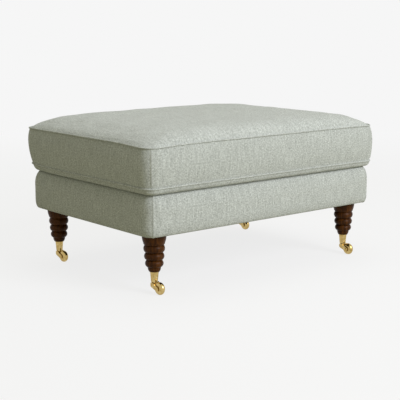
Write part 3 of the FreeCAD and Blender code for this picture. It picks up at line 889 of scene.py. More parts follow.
@dataclass
class SewnForm:
    """A form of panels sewn round an outline, with a flat or crowned panel at each end."""

    surface: Surface
    stations: Stations

    def add_rings(self, rings: list[np.ndarray], closed: bool = False) -> np.ndarray:
        """Add the panels between a stack of rings.

        Args:
            rings: the rings' points, from the lowest ring up on the outside.
            closed: join the last ring to the first.

        Returns:
            The rings' point numbers, rings by stations.
        """
        numbers = self.surface.add_points(np.stack(rings))
        stack = np.stack(rings + rings[:1]) if closed else np.stack(rings)
        rows = np.concatenate([numbers, numbers[:1]]) if closed else numbers
        steps = np.linalg.norm(np.diff(stack, axis=0), axis=2).mean(axis=1)
        rise = np.concatenate([[0.0], np.cumsum(steps)])
        starts = self.stations.starts
        for first, last in zip(starts, starts[1:]):
            columns = np.arange(first, last + 1)
            run = self.stations.run[columns]
            run = run - (run[0] + run[-1]) / 2
            runs = np.stack(np.broadcast_arrays(run[None, :], rise[:, None]), axis=2)
            self.surface.add_grid(rows[:, columns % numbers.shape[1]], runs)
        return numbers

    def add_end(self, loop: np.ndarray, ring: np.ndarray, under: bool = False) -> np.ndarray:
        """Fill a ring with a panel.

        Args:
            loop: the ring's point numbers.
            ring: the ring's points.
            under: the panel faces down.

        Returns:
            The panel's inner point numbers.
        """
        wide, deep = self.stations.panel_cells
        order = np.arange(len(loop))
        front = order[: wide + 1]
        right = order[wide : wide + deep + 1]
        back = order[wide + deep : 2 * wide + deep + 1][::-1]
        left = np.append(order[2 * wide + deep :], 0)[::-1]
        run = self.stations.run
        across = ((run[front] - run[0]) / (run[wide] - run[0]))[None, :, None]
        along = ((run[right] - run[wide]) / (run[wide + deep] - run[wide]))[:, None, None]
        lengthwise = (1 - along) * ring[front][None] + along * ring[back][None]
        crosswise = (1 - across) * ring[left][:, None] + across * ring[right][:, None]
        both = (1 - along) * ((1 - across) * ring[front[0]] + across * ring[front[-1]]) + along * (
            (1 - across) * ring[back[0]] + across * ring[back[-1]]
        )
        patch = lengthwise + crosswise - both
        numbers = np.empty(patch.shape[:2], int)
        numbers[0], numbers[-1] = loop[front], loop[back]
        numbers[:, 0], numbers[:, -1] = loop[left], loop[right]
        inner = self.surface.add_points(patch[1:-1, 1:-1])
        numbers[1:-1, 1:-1] = inner
        self.surface.add_grid(numbers, patch[..., :2], flip=under)
        return inner.ravel()


def pin_edges(mesh: bpy.types.Mesh, loops: list[np.ndarray]) -> None:
    """Crease a mesh along closed loops of points, so that subdivision keeps them sharp.

    Args:
        mesh: the mesh.
        loops: the point numbers of each loop, in order.
    """
    pairs = set()
    for loop in loops:
        for start, end in zip(loop, np.roll(loop, -1)):
            pairs.add((min(start, end), max(start, end)))
    ends = np.empty(len(mesh.edges) * 2, np.int32)
    mesh.edges.foreach_get("vertices", ends)
    creases = [float((min(a, b), max(a, b)) in pairs) for a, b in ends.reshape(-1, 2)]
    mesh.attributes.new("crease_edge", "FLOAT", "EDGE").data.foreach_set("value", creases)


def smoothed(piece: bpy.types.Object) -> None:
    """Subdivide a piece once and keep the result as its mesh.

    Args:
        piece: the piece.
    """
    modifier = piece.modifiers.new("smooth", "SUBSURF")
    modifier.levels = modifier.render_levels = 1
    graph = bpy.context.evaluated_depsgraph_get()
    mesh = bpy.data.meshes.new_from_object(
        piece.evaluated_get(graph), preserve_all_data_layers=True, depsgraph=graph
    )
    piece.modifiers.clear()
    old = piece.data
    name = old.name
    piece.data = mesh
    bpy.data.meshes.remove(old)
    mesh.name = name


@dataclass(frozen=True)
class Swelling:
    """How a sewn cover swells over what fills it."""

    cap: float
    pressure: float = 4.0
    frames: int = 20
    quality: int = 6
    stiffness: float = 12.0
    bending: float = 0.5

    def swell(self, piece: bpy.types.Object, held: np.ndarray) -> None:
        """Let a piece swell as cloth, and keep the result.

        Args:
            piece: the piece, a closed form.
            held: the numbers of the points that stay where they are.
        """
        start = points_of(piece.data)
        group = piece.vertex_groups.new(name="held")
        group.add(held.tolist(), 1.0, "REPLACE")
        modifier = piece.modifiers.new("swell", "CLOTH")
        cloth = modifier.settings
        cloth.quality = self.quality
        cloth.tension_stiffness = cloth.compression_stiffness = self.stiffness
        cloth.bending_stiffness = self.bending
        cloth.vertex_group_mass = group.name
        cloth.use_pressure = True
        cloth.uniform_pressure_force = self.pressure
        cloth.effector_weights.gravity = 0
        modifier.collision_settings.use_collision = False
        modifier.point_cache.frame_start = 1
        modifier.point_cache.frame_end = self.frames
        for number in range(1, self.frames + 1):
            bpy.context.scene.frame_set(number)
        found = piece.evaluated_get(bpy.context.evaluated_depsgraph_get())
        moved = points_of(found.data) - start
        piece.modifiers.clear()
        piece.vertex_groups.clear()
        bpy.context.scene.frame_set(1)
        far = np.linalg.norm(moved, axis=1)
        share = self.cap * np.tanh(far / self.cap) / np.maximum(far, 1e-9)
        log.info("%s swells %.1f mm, kept to %.1f mm", piece.name, far.max() / MM,
                 (far * share).max() / MM)
        set_points(piece.data, start + moved * share[:, None])


# where a bar's rings lie along it, and how wide each is
BAR_RINGS = ((0.0, 0.35), (0.12, 0.85), (0.5, 1.0), (0.88, 0.85), (1.0, 0.35))
BAR_SIDES = 8


def add_capsule(
    surface: Surface, start: Vector, end: Vector, up: Vector, radius: float, flatness: float
) -> None:
    """Add a short rounded bar that lies half sunk in a surface.

    Args:
        surface: the mesh to add it to.
        start: its first end, on the surface.
        end: its last end, on the surface.
        up: the direction away from the surface.
        radius: its half width.
        flatness: how far it is flattened, where 0.5 is round.
    """
    along = (end - start).normalized()
    side = along.cross(up)
    rings = []
    for share, narrow in BAR_RINGS:
        centre = start.lerp(end, share)
        ring = []
        for angle in np.linspace(0, 2 * math.pi, BAR_SIDES, endpoint=False):
            across = side * (math.cos(angle) * radius * narrow)
            rise = up * (math.sin(angle) * radius * narrow * flatness * 2)
            ring.append(tuple(centre + across + rise))
        rings.append(ring)
    points = np.array(rings)
    numbers = surface.add_points(points)
    numbers = np.concatenate([numbers, numbers[:, :1]], axis=1)
    lengthwise = np.linspace(0, (end - start).length, len(rings))
    round_it = np.linspace(0, 2 * math.pi * radius, numbers.shape[1])
    runs = np.stack(np.broadcast_arrays(lengthwise[:, None], round_it[None, :]), axis=2)
    surface.add_grid(numbers, runs, flip=True)
    for ring, flip in ((numbers[0, :-1], False), (numbers[-1, :-1], True)):
        half = BAR_SIDES // 2
        halves = np.stack([ring[:half], ring[: half - 1 : -1]])
        surface.add_grid(halves, np.zeros((2, half, 2)), flip=flip)


def dress(piece: bpy.types.Object, finish: Finish, body: str) -> None:
    """Give a new piece its finish and set it on its body.

    Args:
        piece: the piece.
        finish: its finish.
        body: the body that it moves with.
    """
    piece.data.materials.clear()
    piece.data.materials.append(finish.material())
    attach(piece, body)
    log.info("%s: %s, on %s", piece.name, finish.title, body)


def dress_nodes(finish: Finish, *names: str) -> None:
    """Give CAD nodes a finish.

    Args:
        finish: the finish.
        names: the nodes.
    """
    for name in names:
        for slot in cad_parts[name].material_slots:
            slot.material = finish.material()
        log.info("%s: %s", name, finish.title)


def tube(name: str, path: np.ndarray, radius: np.ndarray, sides: int = 12) -> bpy.types.Object:
    """A round cord along a closed level path.

    Args:
        name: the piece's name.
        path: the path's points.
        radius: the cord's radius at each point.
        sides: how many sides it has.

    Returns:
        The cord as a mesh.
    """
    ahead = np.roll(path, -1, axis=0) - np.roll(path, 1, axis=0)
    ahead /= np.linalg.norm(ahead, axis=1)[:, None]
    outward = np.cross(ahead, [0.0, 0.0, 1.0])
    outward /= np.linalg.norm(outward, axis=1)[:, None]
    upward = np.cross(outward, ahead)
    surface = Surface()
    angles = np.linspace(0, 2 * math.pi, sides, endpoint=False)
    rings = [
        path + (outward * math.cos(a) + upward * math.sin(a)) * radius[:, None] for a in angles
    ]
    numbers = surface.add_points(np.stack(rings, axis=1))
    steps = np.linalg.norm(np.roll(path, -1, axis=0) - path, axis=1)
    along = np.concatenate([[0.0], np.cumsum(steps)])
    round_it = np.linspace(0, 2 * math.pi * radius.mean(), sides + 1)
    wrapped = np.concatenate([numbers, numbers[:1]])
    wrapped = np.concatenate([wrapped, wrapped[:, :1]], axis=1)
    runs = np.stack(np.broadcast_arrays(along[:, None], round_it[None, :]), axis=2)
    surface.add_grid(wrapped, runs, flip=True)
    return surface.piece(name)


@dataclass(frozen=True)
class Settle:
    """How one corner of the cushion has settled: its seams' moves inward, down and up."""

    top_in: float
    top_down: float
    bottom_in: float
    bottom_up: float


@dataclass
class Cushion:
    """The loose cushion, its filling and the piping along both of its seams."""

    length: float = 880 * MM
    depth: float = 620 * MM
    corner: float = 34 * MM
    end_share: float = 0.62
    underside: float = 280.3 * MM
    lower_seam: float = 299 * MM
    upper_seam: float = 408.3 * MM
    lower_inset: float = 4 * MM
    lower_swell: float = 9 * MM
    upper_swell: float = 12 * MM
    swell_control: float = 0.27
    flat_inset: float = 26 * MM
    underside_bend: float = 2 * MM
    underside_droop: float = 5 * MM
    crown: float = 37 * MM
    crown_powers: tuple[float, float] = (6.0, 12.0)
    crown_ease: float = 0.6
    crown_start: float = 12 * MM
    settle_reach: float = 80 * MM
    tuck_share: float = 1.0
    ridge: float = 1.8 * MM
    ridge_width: float = 2.0 * MM
    undulation: float = 0.8 * MM
    pucker: float = 0.35 * MM
    pucker_reach: float = 9 * MM
    piping_radius: float = 2.5 * MM
    piping_stand_off: float = 1.3 * MM
    upper_lean: tuple[float, float] = (0.78, 0.62)
    lower_lean: tuple[float, float] = (0.87, -0.5)
    step: float = 9 * MM
    border_rows: int = 14
    under_rows: int = 8
    fibre_inset: float = 5 * MM
    foam_inset: float = 16 * MM
    filling_unevenness: float = 0.3 * MM
    piping_unevenness: float = 0.03
    seam_calm: float = 22 * MM
    broad_waves: tuple[float, float] = (55 * MM, 190 * MM)
    fine_waves: tuple[float, float] = (15 * MM, 34 * MM)
    swelling: Swelling = Swelling(cap=1.4 * MM, pressure=4.0)
    settled: ClassVar[dict[Place, Settle]] = {
        Place.FRONT_LEFT: Settle(1 * MM, 4.5 * MM, 1 * MM, -1.5 * MM),
        Place.FRONT_RIGHT: Settle(11 * MM, 3 * MM, 4 * MM, -2 * MM),
        Place.BACK_LEFT: Settle(3 * MM, 0.5 * MM, 5 * MM, 4 * MM),
        Place.BACK_RIGHT: Settle(5 * MM, 3 * MM, 4 * MM, 2 * MM),
    }

    def outline(self) -> Outline:
        """The upper seam in plan."""
        return Outline(self.length / 2, self.depth / 2, self.corner, self.end_share)

    def under_rows_out(self) -> list[tuple[float, float]]:
        """Distance out and height of each row of the underside's edge, up to the seam.

        Returns:
            The rows, from the flat middle outward.
        """
        return quarter_round(
            (-self.flat_inset, self.underside),
            (-self.underside_bend, self.underside - self.underside_droop),
            (-self.lower_inset, self.lower_seam),
            self.under_rows,
        )

    def border_rows_out(self) -> list[tuple[float, float]]:
        """Distance out and height of each row of the border, from seam to seam.

        Returns:
            The rows, from the lower seam up.
        """
        lift = self.swell_control * (self.upper_seam - self.lower_seam)
        out = (
            -self.lower_inset, self.lower_swell - self.lower_inset, self.upper_swell, 0.0
        )
        height = (
            self.lower_seam, self.lower_seam + lift, self.upper_seam - lift, self.upper_seam
        )
        rows = []
        for t in np.linspace(0, 1, self.border_rows + 1):
            weights = ((1 - t) ** 3, 3 * t * (1 - t) ** 2, 3 * t * t * (1 - t), t**3)
            rows.append(tuple(
                sum(w * p for w, p in zip(weights, points)) for points in (out, height)
            ))
        return rows

    def crown_at(self, flat: np.ndarray) -> np.ndarray:
        """Height of the top panel over the upper seam.

        Args:
            flat: one row of x, y for each point.

        Returns:
            The height at each point.
        """
        halves = np.array([self.length / 2, self.depth / 2])

        def rise(places: np.ndarray) -> np.ndarray:
            """The crown of a panel with square corners."""
            share = 1 - np.minimum(np.abs(places / halves), 1) ** np.array(self.crown_powers)
            return self.crown * share.prod(axis=1) ** self.crown_ease

        outline = self.outline()
        fade = np.exp(-np.maximum(outline.depth_inside(flat), 0) / self.crown_start)
        return rise(flat) - rise(outline.nearest_on_corner(flat)) * fade

    def border_share(self, places: np.ndarray) -> np.ndarray:
        """How far up the border points are, from 0 at the lower seam to 1 at the upper."""
        return (places[:, 2] - self.lower_seam) / (self.upper_seam - self.lower_seam)

    def settle(self, places: np.ndarray) -> np.ndarray:
        """Let the corners settle, each in its own way.

        Args:
            places: one row of x, y, z for each point.

        Returns:
            The moved points.
        """
        tip = np.array([self.length / 2, self.depth / 2]) - self.corner * (1 - math.sqrt(0.5))
        raised = (places[:, 2] - self.underside) / (self.lower_seam - self.underside)
        above_floor = np.clip(raised, 0, 1)
        share = np.clip(self.border_share(places), 0, 1)
        moved = places.copy()
        for place, corner in self.settled.items():
            sides = np.array(place.value)
            gap = np.linalg.norm(places[:, :2] - tip * sides, axis=1)
            near = np.exp(-((gap / self.settle_reach) ** 2))
            inward = corner.bottom_in * (1 - share) + corner.top_in * share
            inward = inward + (1 - above_floor) * self.tuck_share * corner.bottom_up
            upward = corner.bottom_up * (1 - share) - corner.top_down * share
            moved[:, :2] -= (near * inward)[:, None] * sides * math.sqrt(0.5)
            moved[:, 2] += near * upward * above_floor
        return moved

    def build_cover(self) -> bpy.types.Object:
        """Sew the cover, let it swell and round it off.

        Returns:
            The cover, a closed form.
        """
        stations = self.outline().stations(self.step)
        form = SewnForm(Surface(), stations)
        rows = self.under_rows_out() + self.border_rows_out()[1:]
        rings = [stations.ring(out, height) for out, height in rows]
        numbers = form.add_rings(rings)
        bottom = form.add_end(numbers[0], rings[0], under=True)
        form.add_end(numbers[-1], rings[-1])
        cover = form.surface.piece("cushion_cover_cloth")
        places = points_of(cover.data)
        top = np.arange(bottom[-1] + 1, len(places))
        places[top, 2] += self.crown_at(places[top, :2])
        set_points(cover.data, places)
        seams = numbers[:, stations.starts[:4]]
        lower = numbers[: self.under_rows + 1]
        held = np.unique(np.concatenate([
            lower.ravel(), numbers[-1], seams.ravel(), bottom,
            np.flatnonzero(self.beside_zip(places) > 0.5),
        ]))
        self.swelling.swell(cover, held)
        pin_edges(cover.data, [numbers[-1], numbers[self.under_rows]])
        smoothed(cover)
        self.work_cloth(cover.data)
        return cover

    def beside_zip(self, places: np.ndarray) -> np.ndarray:
        """How much the zip keeps each point of the back border flat.

        Args:
            places: one row of x, y, z for each point.

        Returns:
            A share of 0 to 1 for each point.
        """
        low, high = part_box("zip_tape")
        beyond = np.maximum(np.abs(places[:, 0]) - high.x, 0)
        over = np.maximum(np.abs(places[:, 2] - (low.z + high.z) / 2) - (high.z - low.z) / 2, 0)
        near = np.exp(-((np.hypot(beyond, over) / (2 * self.step)) ** 2))
        return np.where(places[:, 1] > low.y - self.step, near, 0)

    def work_cloth(self, mesh: bpy.types.Mesh) -> None:
        """Raise the corner seams, and let the cloth undulate, pucker and settle.

        Args:
            mesh: the cover's mesh.
        """
        places = points_of(mesh)
        outward = normals_of(mesh)
        share = self.border_share(places)
        inner = self.outline().depth_inside(places[:, :2])
        on_border = (inner < self.underside_bend) & (share > -0.05) & (share <= 1.0)
        ridge = seam_ridge(self.outline(), places, self.ridge_width) * self.ridge
        to_seam = np.minimum(np.abs(share), np.abs(1 - share)) * (self.upper_seam - self.lower_seam)
        to_seam = np.where(share > 1, np.hypot(np.maximum(inner, 0), 1 * MM), np.abs(to_seam))
        broad = ripple(places[:, :2], *self.broad_waves, 21) * self.undulation
        broad = broad * (1 - np.exp(-((to_seam / self.seam_calm) ** 2)))
        fine = ripple(places[:, :2], *self.fine_waves, 22) * self.pucker
        fine = fine * np.exp(-to_seam / self.pucker_reach) * (1 - np.exp(-to_seam / (2 * MM)))
        loose = (share > 0) * (1 - self.beside_zip(places))
        raised = np.where(on_border, ridge, 0) + (broad + fine) * loose
        set_points(mesh, self.settle(places + outward * raised[:, None]))

    def build_piping(self, name: str, level: float, out: float, lean: tuple) -> bpy.types.Object:
        """Make the piping of one seam.

        Args:
            name: the piping's name.
            level: the seam's height.
            out: how far the seam stands outside the upper seam in plan.
            lean: the direction from the seam to the piping's middle, out and up.

        Returns:
            The piping.
        """
        stations = self.outline().stations(self.step / 2)
        path = stations.ring(
            out + lean[0] * self.piping_stand_off, level + lean[1] * self.piping_stand_off
        )
        uneven = 1 + self.piping_unevenness * ripple(stations.run[:-1, None], 7 * MM, 24 * MM, 5)
        return tube(name, self.settle(path), self.piping_radius * uneven)

    def build_filling(self, name: str, inset: float) -> bpy.types.Object:
        """Make the foam core or the fibre wrap round it.

        Args:
            name: the piece's name.
            inset: how far it lies inside the cover.

        Returns:
            The filling, a closed form.
        """
        stations = self.outline().stations(2 * self.step)
        form = SewnForm(Surface(), stations)
        rows = self.under_rows_out() + self.border_rows_out()[2::2]
        rings = [stations.ring(out - inset, height) for out, height in rows]
        for ring in rings:
            ring[:, 2] = np.clip(ring[:, 2], self.underside + inset, self.upper_seam - inset)
        numbers = form.add_rings(rings)
        bottom = form.add_end(numbers[0], rings[0], under=True)
        form.add_end(numbers[-1], rings[-1])
        filling = form.surface.piece(name)
        places = points_of(filling.data)
        top = np.arange(bottom[-1] + 1, len(places))
        places[top, 2] += self.crown_at(places[top, :2])
        places[:, 2] += self.filling_unevenness * ripple(places, 20 * MM, 90 * MM, 8)
        set_points(filling.data, self.settle(places))
        return filling

    def dress_all(self) -> None:
        """Build every piece of the cushion and set it in place."""
        cover = self.build_cover()
        dress(cover, COVER_CLOTH, "cushion")
        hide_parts("cushion_cover")
        wrap = self.build_filling("cushion_fibre", self.fibre_inset)
        dress(wrap, WADDING, "cushion")
        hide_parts("cushion_wrap")
        core = self.build_filling("cushion_foam", self.foam_inset)
        dress(core, FOAM, "cushion")
        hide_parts("cushion_core")
        upper = self.build_piping("upper_seam_piping", self.upper_seam, 0.0, self.upper_lean)
        lower = self.build_piping(
            "lower_seam_piping", self.lower_seam, -self.lower_inset, self.lower_lean
        )
        for piping, node in ((upper, "upper_piping"), (lower, "lower_piping")):
            dress(piping, PIPING_CLOTH, "cushion")
            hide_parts(node)


@dataclass
class Zip:
    """The zip in the cushion's back border: woven tape, coil teeth and stitching."""

    tape_thickness: float = 0.7 * MM
    tooth_pitch: float = 2.4 * MM
    tooth_width: float = 1.5 * MM
    tooth_reach: float = 1.8 * MM
    tooth_overlap: float = 0.5 * MM
    stitch_length: float = 3.2 * MM
    stitch_gap: float = 1.2 * MM
    stitch_radius: float = 0.35 * MM
    stitch_inset: float = 1.2 * MM
    tooth_flatness: float = 0.55
    tape_bulge: float = 0.15 * MM
    tape_unevenness: float = 0.15 * MM
    bulge_reach: float = 2 * MM
    tape_cells: int = 80

    def __post_init__(self) -> None:
        """Take the zip's place from its node."""
        self.low, self.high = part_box("zip_tape")
        self.middle = (self.low.z + self.high.z) / 2
        self.back = self.high.y - self.tooth_reach

    def build_tape(self) -> bpy.types.Object:
        """Make the tape, a thin closed strip.

        Returns:
            The tape.
        """
        columns = np.linspace(self.low.x, self.high.x, self.tape_cells + 1)
        bulge = (0, 0, self.tape_bulge, 0, 0)
        levels = (
            self.low.z, self.middle - self.bulge_reach, self.middle,
            self.middle + self.bulge_reach, self.high.z,
        )
        rows = [(self.back + out, level) for out, level in zip(bulge, levels)]
        rows += [(self.back - self.tape_thickness, level) for level in reversed(levels)]
        surface = Surface()
        rings = np.array([[(x, y, z) for x in columns] for y, z in rows + rows[:1]])
        rings[:, :, 1] += self.tape_unevenness * ripple(columns[:, None], 20 * MM, 70 * MM, 41)
        numbers = surface.add_points(rings[:-1])
        numbers = np.concatenate([numbers, numbers[:1]])
        steps = np.linalg.norm(np.diff(rings[:, 0], axis=0), axis=1)
        across = np.concatenate([[0.0], np.cumsum(steps)])
        runs = np.stack(np.broadcast_arrays(columns[None, :], across[:, None]), axis=2)
        surface.add_grid(numbers, runs, flip=True)
        for column, flip in ((0, True), (-1, False)):
            section = numbers[:-1, column]
            halves = np.stack([section[: len(levels)], section[: len(levels) - 1 : -1]])
            surface.add_grid(halves, np.zeros((2, len(levels), 2)), flip=flip)
        return surface.piece("zip_tape_cloth")

    def build_teeth(self) -> bpy.types.Object:
        """Make the teeth, which reach in turn from above and from below.

        Returns:
            All the teeth as one piece.
        """
        surface = Surface()
        half = self.tooth_pitch / 2
        count = int((self.high.x - self.low.x) / half) - 1
        for number in range(count):
            side = 1 if number % 2 else -1
            x = self.low.x + (number + 1) * half
            start = Vector((x, self.back, self.middle - side * self.tooth_overlap))
            end = Vector((x, self.back, self.middle + side * self.tooth_reach))
            radius = self.tooth_width / 2
            add_capsule(surface, start, end, BACKWARD, radius, self.tooth_flatness)
        return surface.piece("zip_teeth")

    def build_stitches(self) -> bpy.types.Object:
        """Make the two rows of stitches that hold the tape.

        Returns:
            All the stitches as one piece.
        """
        surface = Surface()
        pitch = self.stitch_length + self.stitch_gap
        count = int((self.high.x - self.low.x) / pitch)
        for height in (self.low.z + self.stitch_inset, self.high.z - self.stitch_inset):
            for number in range(count):
                x = self.low.x + (number + 0.5) * pitch
                start = Vector((x - self.stitch_length / 2, self.back, height))
                end = Vector((x + self.stitch_length / 2, self.back, height))
                add_capsule(surface, start, end, BACKWARD, self.stitch_radius, 1.0)
        return surface.piece("zip_stitches")

    def dress_all(self) -> None:
        """Build the zip's pieces and set them in the cushion."""
        tape = self.build_tape()
        dress(tape, TAPE, "cushion")
        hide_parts("zip_tape")
        dress(self.build_teeth(), STEEL, "cushion")
        dress(self.build_stitches(), THREAD, "cushion")


@dataclass
class PaddedBase:
    """The close cover over the frame's sides, with its wadding, deck and springing."""

    length: float = 860 * MM
    depth: float = 600 * MM
    corner: float = 33 * MM
    bottom: float = 165.4 * MM
    deck: float = 280 * MM
    lower_width: float = 9 * MM
    lower_height: float = 22 * MM
    corner_tuck: float = 0.15
    tuck_reach: float = 60 * MM
    upper_width: float = 22 * MM
    upper_height: float = 40 * MM
    turn_under: float = 24 * MM
    deck_opening: float = 70 * MM
    thickness: float = 1.6 * MM
    end_share: float = 0.66
    ridge: float = 1.7 * MM
    ridge_width: float = 2.0 * MM
    undulation: float = 0.5 * MM
    stitch_inset: float = 4 * MM
    stitch_pitch: float = 9 * MM
    stitch_radius: float = 0.6 * MM
    stitch_gap_share: float = 0.15
    sharp_corner: float = 1 * MM
    lower_steps: int = 6
    side_steps: int = 7
    upper_steps: int = 8
    band_steps: int = 4
    broad_waves: tuple[float, float] = (55 * MM, 190 * MM)
    hessian_thickness: float = 1 * MM
    layer_edge: float = 40 * MM
    wadding_gap: float = 2.2
    wadding_clearance: float = 0.4 * MM
    wadding_unevenness: float = 0.3 * MM
    leg_hole: float = 34.6 * MM
    hole_sides: int = 40
    dust_step: float = 22 * MM
    dust_sag: float = 2.5 * MM
    sag_reach: float = 60 * MM
    step: float = 9 * MM
    swelling: Swelling = Swelling(cap=1.5 * MM, pressure=3.0)

    def outline(self) -> Outline:
        """The box in plan."""
        return Outline(self.length / 2, self.depth / 2, self.corner, self.end_share)

    def section(self, inset: float, grown: np.ndarray) -> list[np.ndarray]:
        """Rows of the box's outside, as distance out and height at each station.

        Args:
            inset: how far the rows lie inside the box.
            grown: how much the lower round grows at each station.

        Returns:
            The rows, from under the rails up and in over the deck's edge.
        """
        low, high = self.bottom + inset, self.deck - inset
        width = self.lower_width * grown
        height = self.lower_height * grown
        lower = [
            (-width * (1 - math.sin(a)) - inset * math.sin(a), low + (self.bottom + height - low)
             * (1 - math.cos(a)))
            for a in np.linspace(0, QUARTER, self.lower_steps + 1)
        ]
        straight_start = lower[-1][1]
        straight_end = self.deck - self.upper_height
        side = [
            (-inset, straight_start + (straight_end - straight_start) * share)
            for share in np.linspace(0, 1, self.side_steps + 1)[1:-1]
        ]
        upper = quarter_round(
            (-inset, straight_end), (-inset, high), (-self.upper_width, high), self.upper_steps
        )
        under = [(-self.turn_under, low), (-(self.turn_under + self.lower_width * 2) / 2, low)]
        band = [
            (-(self.upper_width + (self.deck_opening - self.upper_width) * share), high)
            for share in np.linspace(0, 1, self.band_steps + 1)[1:]
        ]
        return under + lower + side + upper + band

    def build_cover(self) -> bpy.types.Object:
        """Sew the close cover and let its sides swell over the wadding.

        Returns:
            The cover, a closed shell of cloth.
        """
        stations = self.outline().stations(self.step)
        near = np.exp(-((stations.gap_to_seam() / self.tuck_reach) ** 2))
        grown = 1 + self.corner_tuck * near
        outside = self.section(0.0, grown)
        inside = self.section(self.thickness, grown)[::-1]
        rings = [stations.ring(out, height) for out, height in outside + inside]
        form = SewnForm(Surface(), stations)
        numbers = form.add_rings(rings, closed=True)
        cover = form.surface.piece("base_cover_cloth")
        last_free = self.lower_steps + self.side_steps + self.upper_steps - 1
        free = numbers[self.lower_steps : last_free]
        held = np.setdiff1d(numbers, free)
        held = np.union1d(held, free[:, stations.starts[:4]])
        self.swelling.swell(cover, held)
        smoothed(cover)
        self.work_cloth(cover.data)
        return cover

    def work_cloth(self, mesh: bpy.types.Mesh) -> None:
        """Raise the corner seams and let the cloth undulate.

        Args:
            mesh: the cover's mesh.
        """
        places = points_of(mesh)
        outward = normals_of(mesh)
        inner = self.outline().depth_inside(places[:, :2])
        on_outside = inner < self.upper_width * 1.5
        ridge = seam_ridge(self.outline(), places, self.ridge_width) * self.ridge
        share = np.clip((places[:, 2] - self.bottom) / (self.deck - self.bottom), 0, 1)
        broad = ripple(places[:, :2], *self.broad_waves, 31) * self.undulation
        raised = np.where(on_outside, ridge + broad * np.sin(share * math.pi), 0)
        set_points(mesh, places + outward * raised[:, None])

    def build_slab(
        self, name: str, inset: float, low: float, high: float, wave: float
    ) -> bpy.types.Object:
        """Make a flat layer of cloth, felt or wadding inside the box's edge.

        Args:
            name: the layer's name.
            inset: how far its edge lies inside the box.
            low: its underside's height.
            high: its top's height.
            wave: how uneven it is.

        Returns:
            The layer, a closed form.
        """
        corner = max(self.corner - inset, self.sharp_corner)
        outline = Outline(self.length / 2 - inset, self.depth / 2 - inset, corner)
        stations = outline.stations(self.step)
        form = SewnForm(Surface(), stations)
        rings = [stations.ring(0.0, low), stations.ring(0.0, high)]
        numbers = form.add_rings(rings)
        form.add_end(numbers[0], rings[0], under=True)
        form.add_end(numbers[1], rings[1])
        slab = form.surface.piece(name)
        places = points_of(slab.data)
        edge = np.clip(outline.depth_inside(places[:, :2]) / self.layer_edge, 0, 1)
        places[:, 2] -= wave * edge * (1 + 0.5 * ripple(places[:, :2], 60 * MM, 160 * MM, 3))
        set_points(slab.data, places)
        return slab

    @staticmethod
    def flat_size(layer: bpy.types.Object) -> tuple[float, float]:
        """The length and depth a flat layer was cut to."""
        extent = np.ptp(points_of(layer.data), axis=0)
        return float(extent[0]), float(extent[1])

    def build_wadding(self) -> bpy.types.Object:
        """Make the wadding round the rails and over their edges.

        Returns:
            The wadding, a closed band.
        """
        stations = self.outline().stations(2 * self.step)
        grown = np.ones(len(stations.place))
        low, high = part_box("side_wadding")
        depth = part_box("front_rail")[0].y - low.y + self.thickness
        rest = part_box("deck_pad")[0].z
        outside = self.section(self.wadding_gap * self.thickness, grown)
        outside = outside[2 : 1 - self.band_steps]
        edge = -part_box("deck_pad")[0].x
        inner = edge - self.length / 2 + self.wadding_clearance
        inside = [(inner, rest), (-depth, rest), (-depth, (low.z + rest) / 2), (-depth, low.z)]
        rings = [stations.ring(out, height) for out, height in outside + inside]
        for ring in rings:
            ring[:, 2] = np.clip(ring[:, 2], low.z, high.z)
        form = SewnForm(Surface(), stations)
        form.add_rings(rings, closed=True)
        wadding = form.surface.piece("side_fibre")
        places = points_of(wadding.data)
        places[:, :2] -= np.sign(places[:, :2]) * (
            self.wadding_unevenness * (1 + ripple(places, 20 * MM, 80 * MM, 12)[:, None])
        )
        set_points(wadding.data, places)
        return wadding

    def build_deck_seam(self) -> bpy.types.Object:
        """Make the stitches that join the deck cloth to the cover's band.

        Returns:
            All the stitches as one piece.
        """
        inset = self.deck_opening - self.stitch_inset
        outline = Outline(self.length / 2 - inset, self.depth / 2 - inset, self.sharp_corner)
        stations = outline.stations(self.stitch_pitch)
        ring = stations.ring(0.0, self.deck)
        surface = Surface()
        for first, second in zip(ring, np.roll(ring, -1, axis=0)):
            start, end = Vector(first), Vector(second)
            if (end - start).length < self.stitch_pitch / 2:
                continue
            first_end = start.lerp(end, self.stitch_gap_share)
            last_end = end.lerp(start, self.stitch_gap_share)
            add_capsule(
                surface, first_end, last_end, UPWARD, self.stitch_radius, 1.0
            )
        return surface.piece("deck_stitches")

    @staticmethod
    def leg_middles() -> list[np.ndarray]:
        """Where each leg's axis stands in plan.

        Returns:
            The x, y of each leg.
        """
        boxes = [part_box("leg_" + place.word) for place in Place]
        return [np.array([low.x + high.x, low.y + high.y]) / 2 for low, high in boxes]

    def sheet_with_holes(self, outline: Outline) -> tuple[np.ndarray, np.ndarray]:
        """Cut a flat sheet with a round hole for each leg.

        Args:
            outline: the sheet's outline.

        Returns:
            The sheet's points in plan and the point numbers of its triangles.
        """
        turn = np.linspace(0, 2 * math.pi, self.hole_sides, endpoint=False)
        circle = np.column_stack([np.cos(turn), np.sin(turn)]) * self.leg_hole
        middles = self.leg_middles()
        loops = [outline.stations(self.dust_step).place] + [circle + spot for spot in middles]
        bounds, start = [], 0
        for loop in loops:
            numbers = np.arange(start, start + len(loop))
            bounds += list(zip(numbers.tolist(), np.roll(numbers, -1).tolist()))
            start += len(loop)
        across = np.arange(-outline.half_x, outline.half_x, self.dust_step)
        along = np.arange(-outline.half_y, outline.half_y, self.dust_step)
        grid = np.stack(np.meshgrid(across, along), axis=2).reshape(-1, 2)
        clear = outline.depth_inside(grid) > self.dust_step / 2
        for middle in middles:
            gap = np.linalg.norm(grid - middle, axis=1)
            clear &= gap > self.leg_hole + self.dust_step / 2
        points = [Vector(point) for point in np.concatenate([*loops, grid[clear]])]
        found = delaunay_2d_cdt(points, bounds, [], 4, 1e-6)
        return np.array([tuple(vertex) for vertex in found[0]]), np.array(found[2])

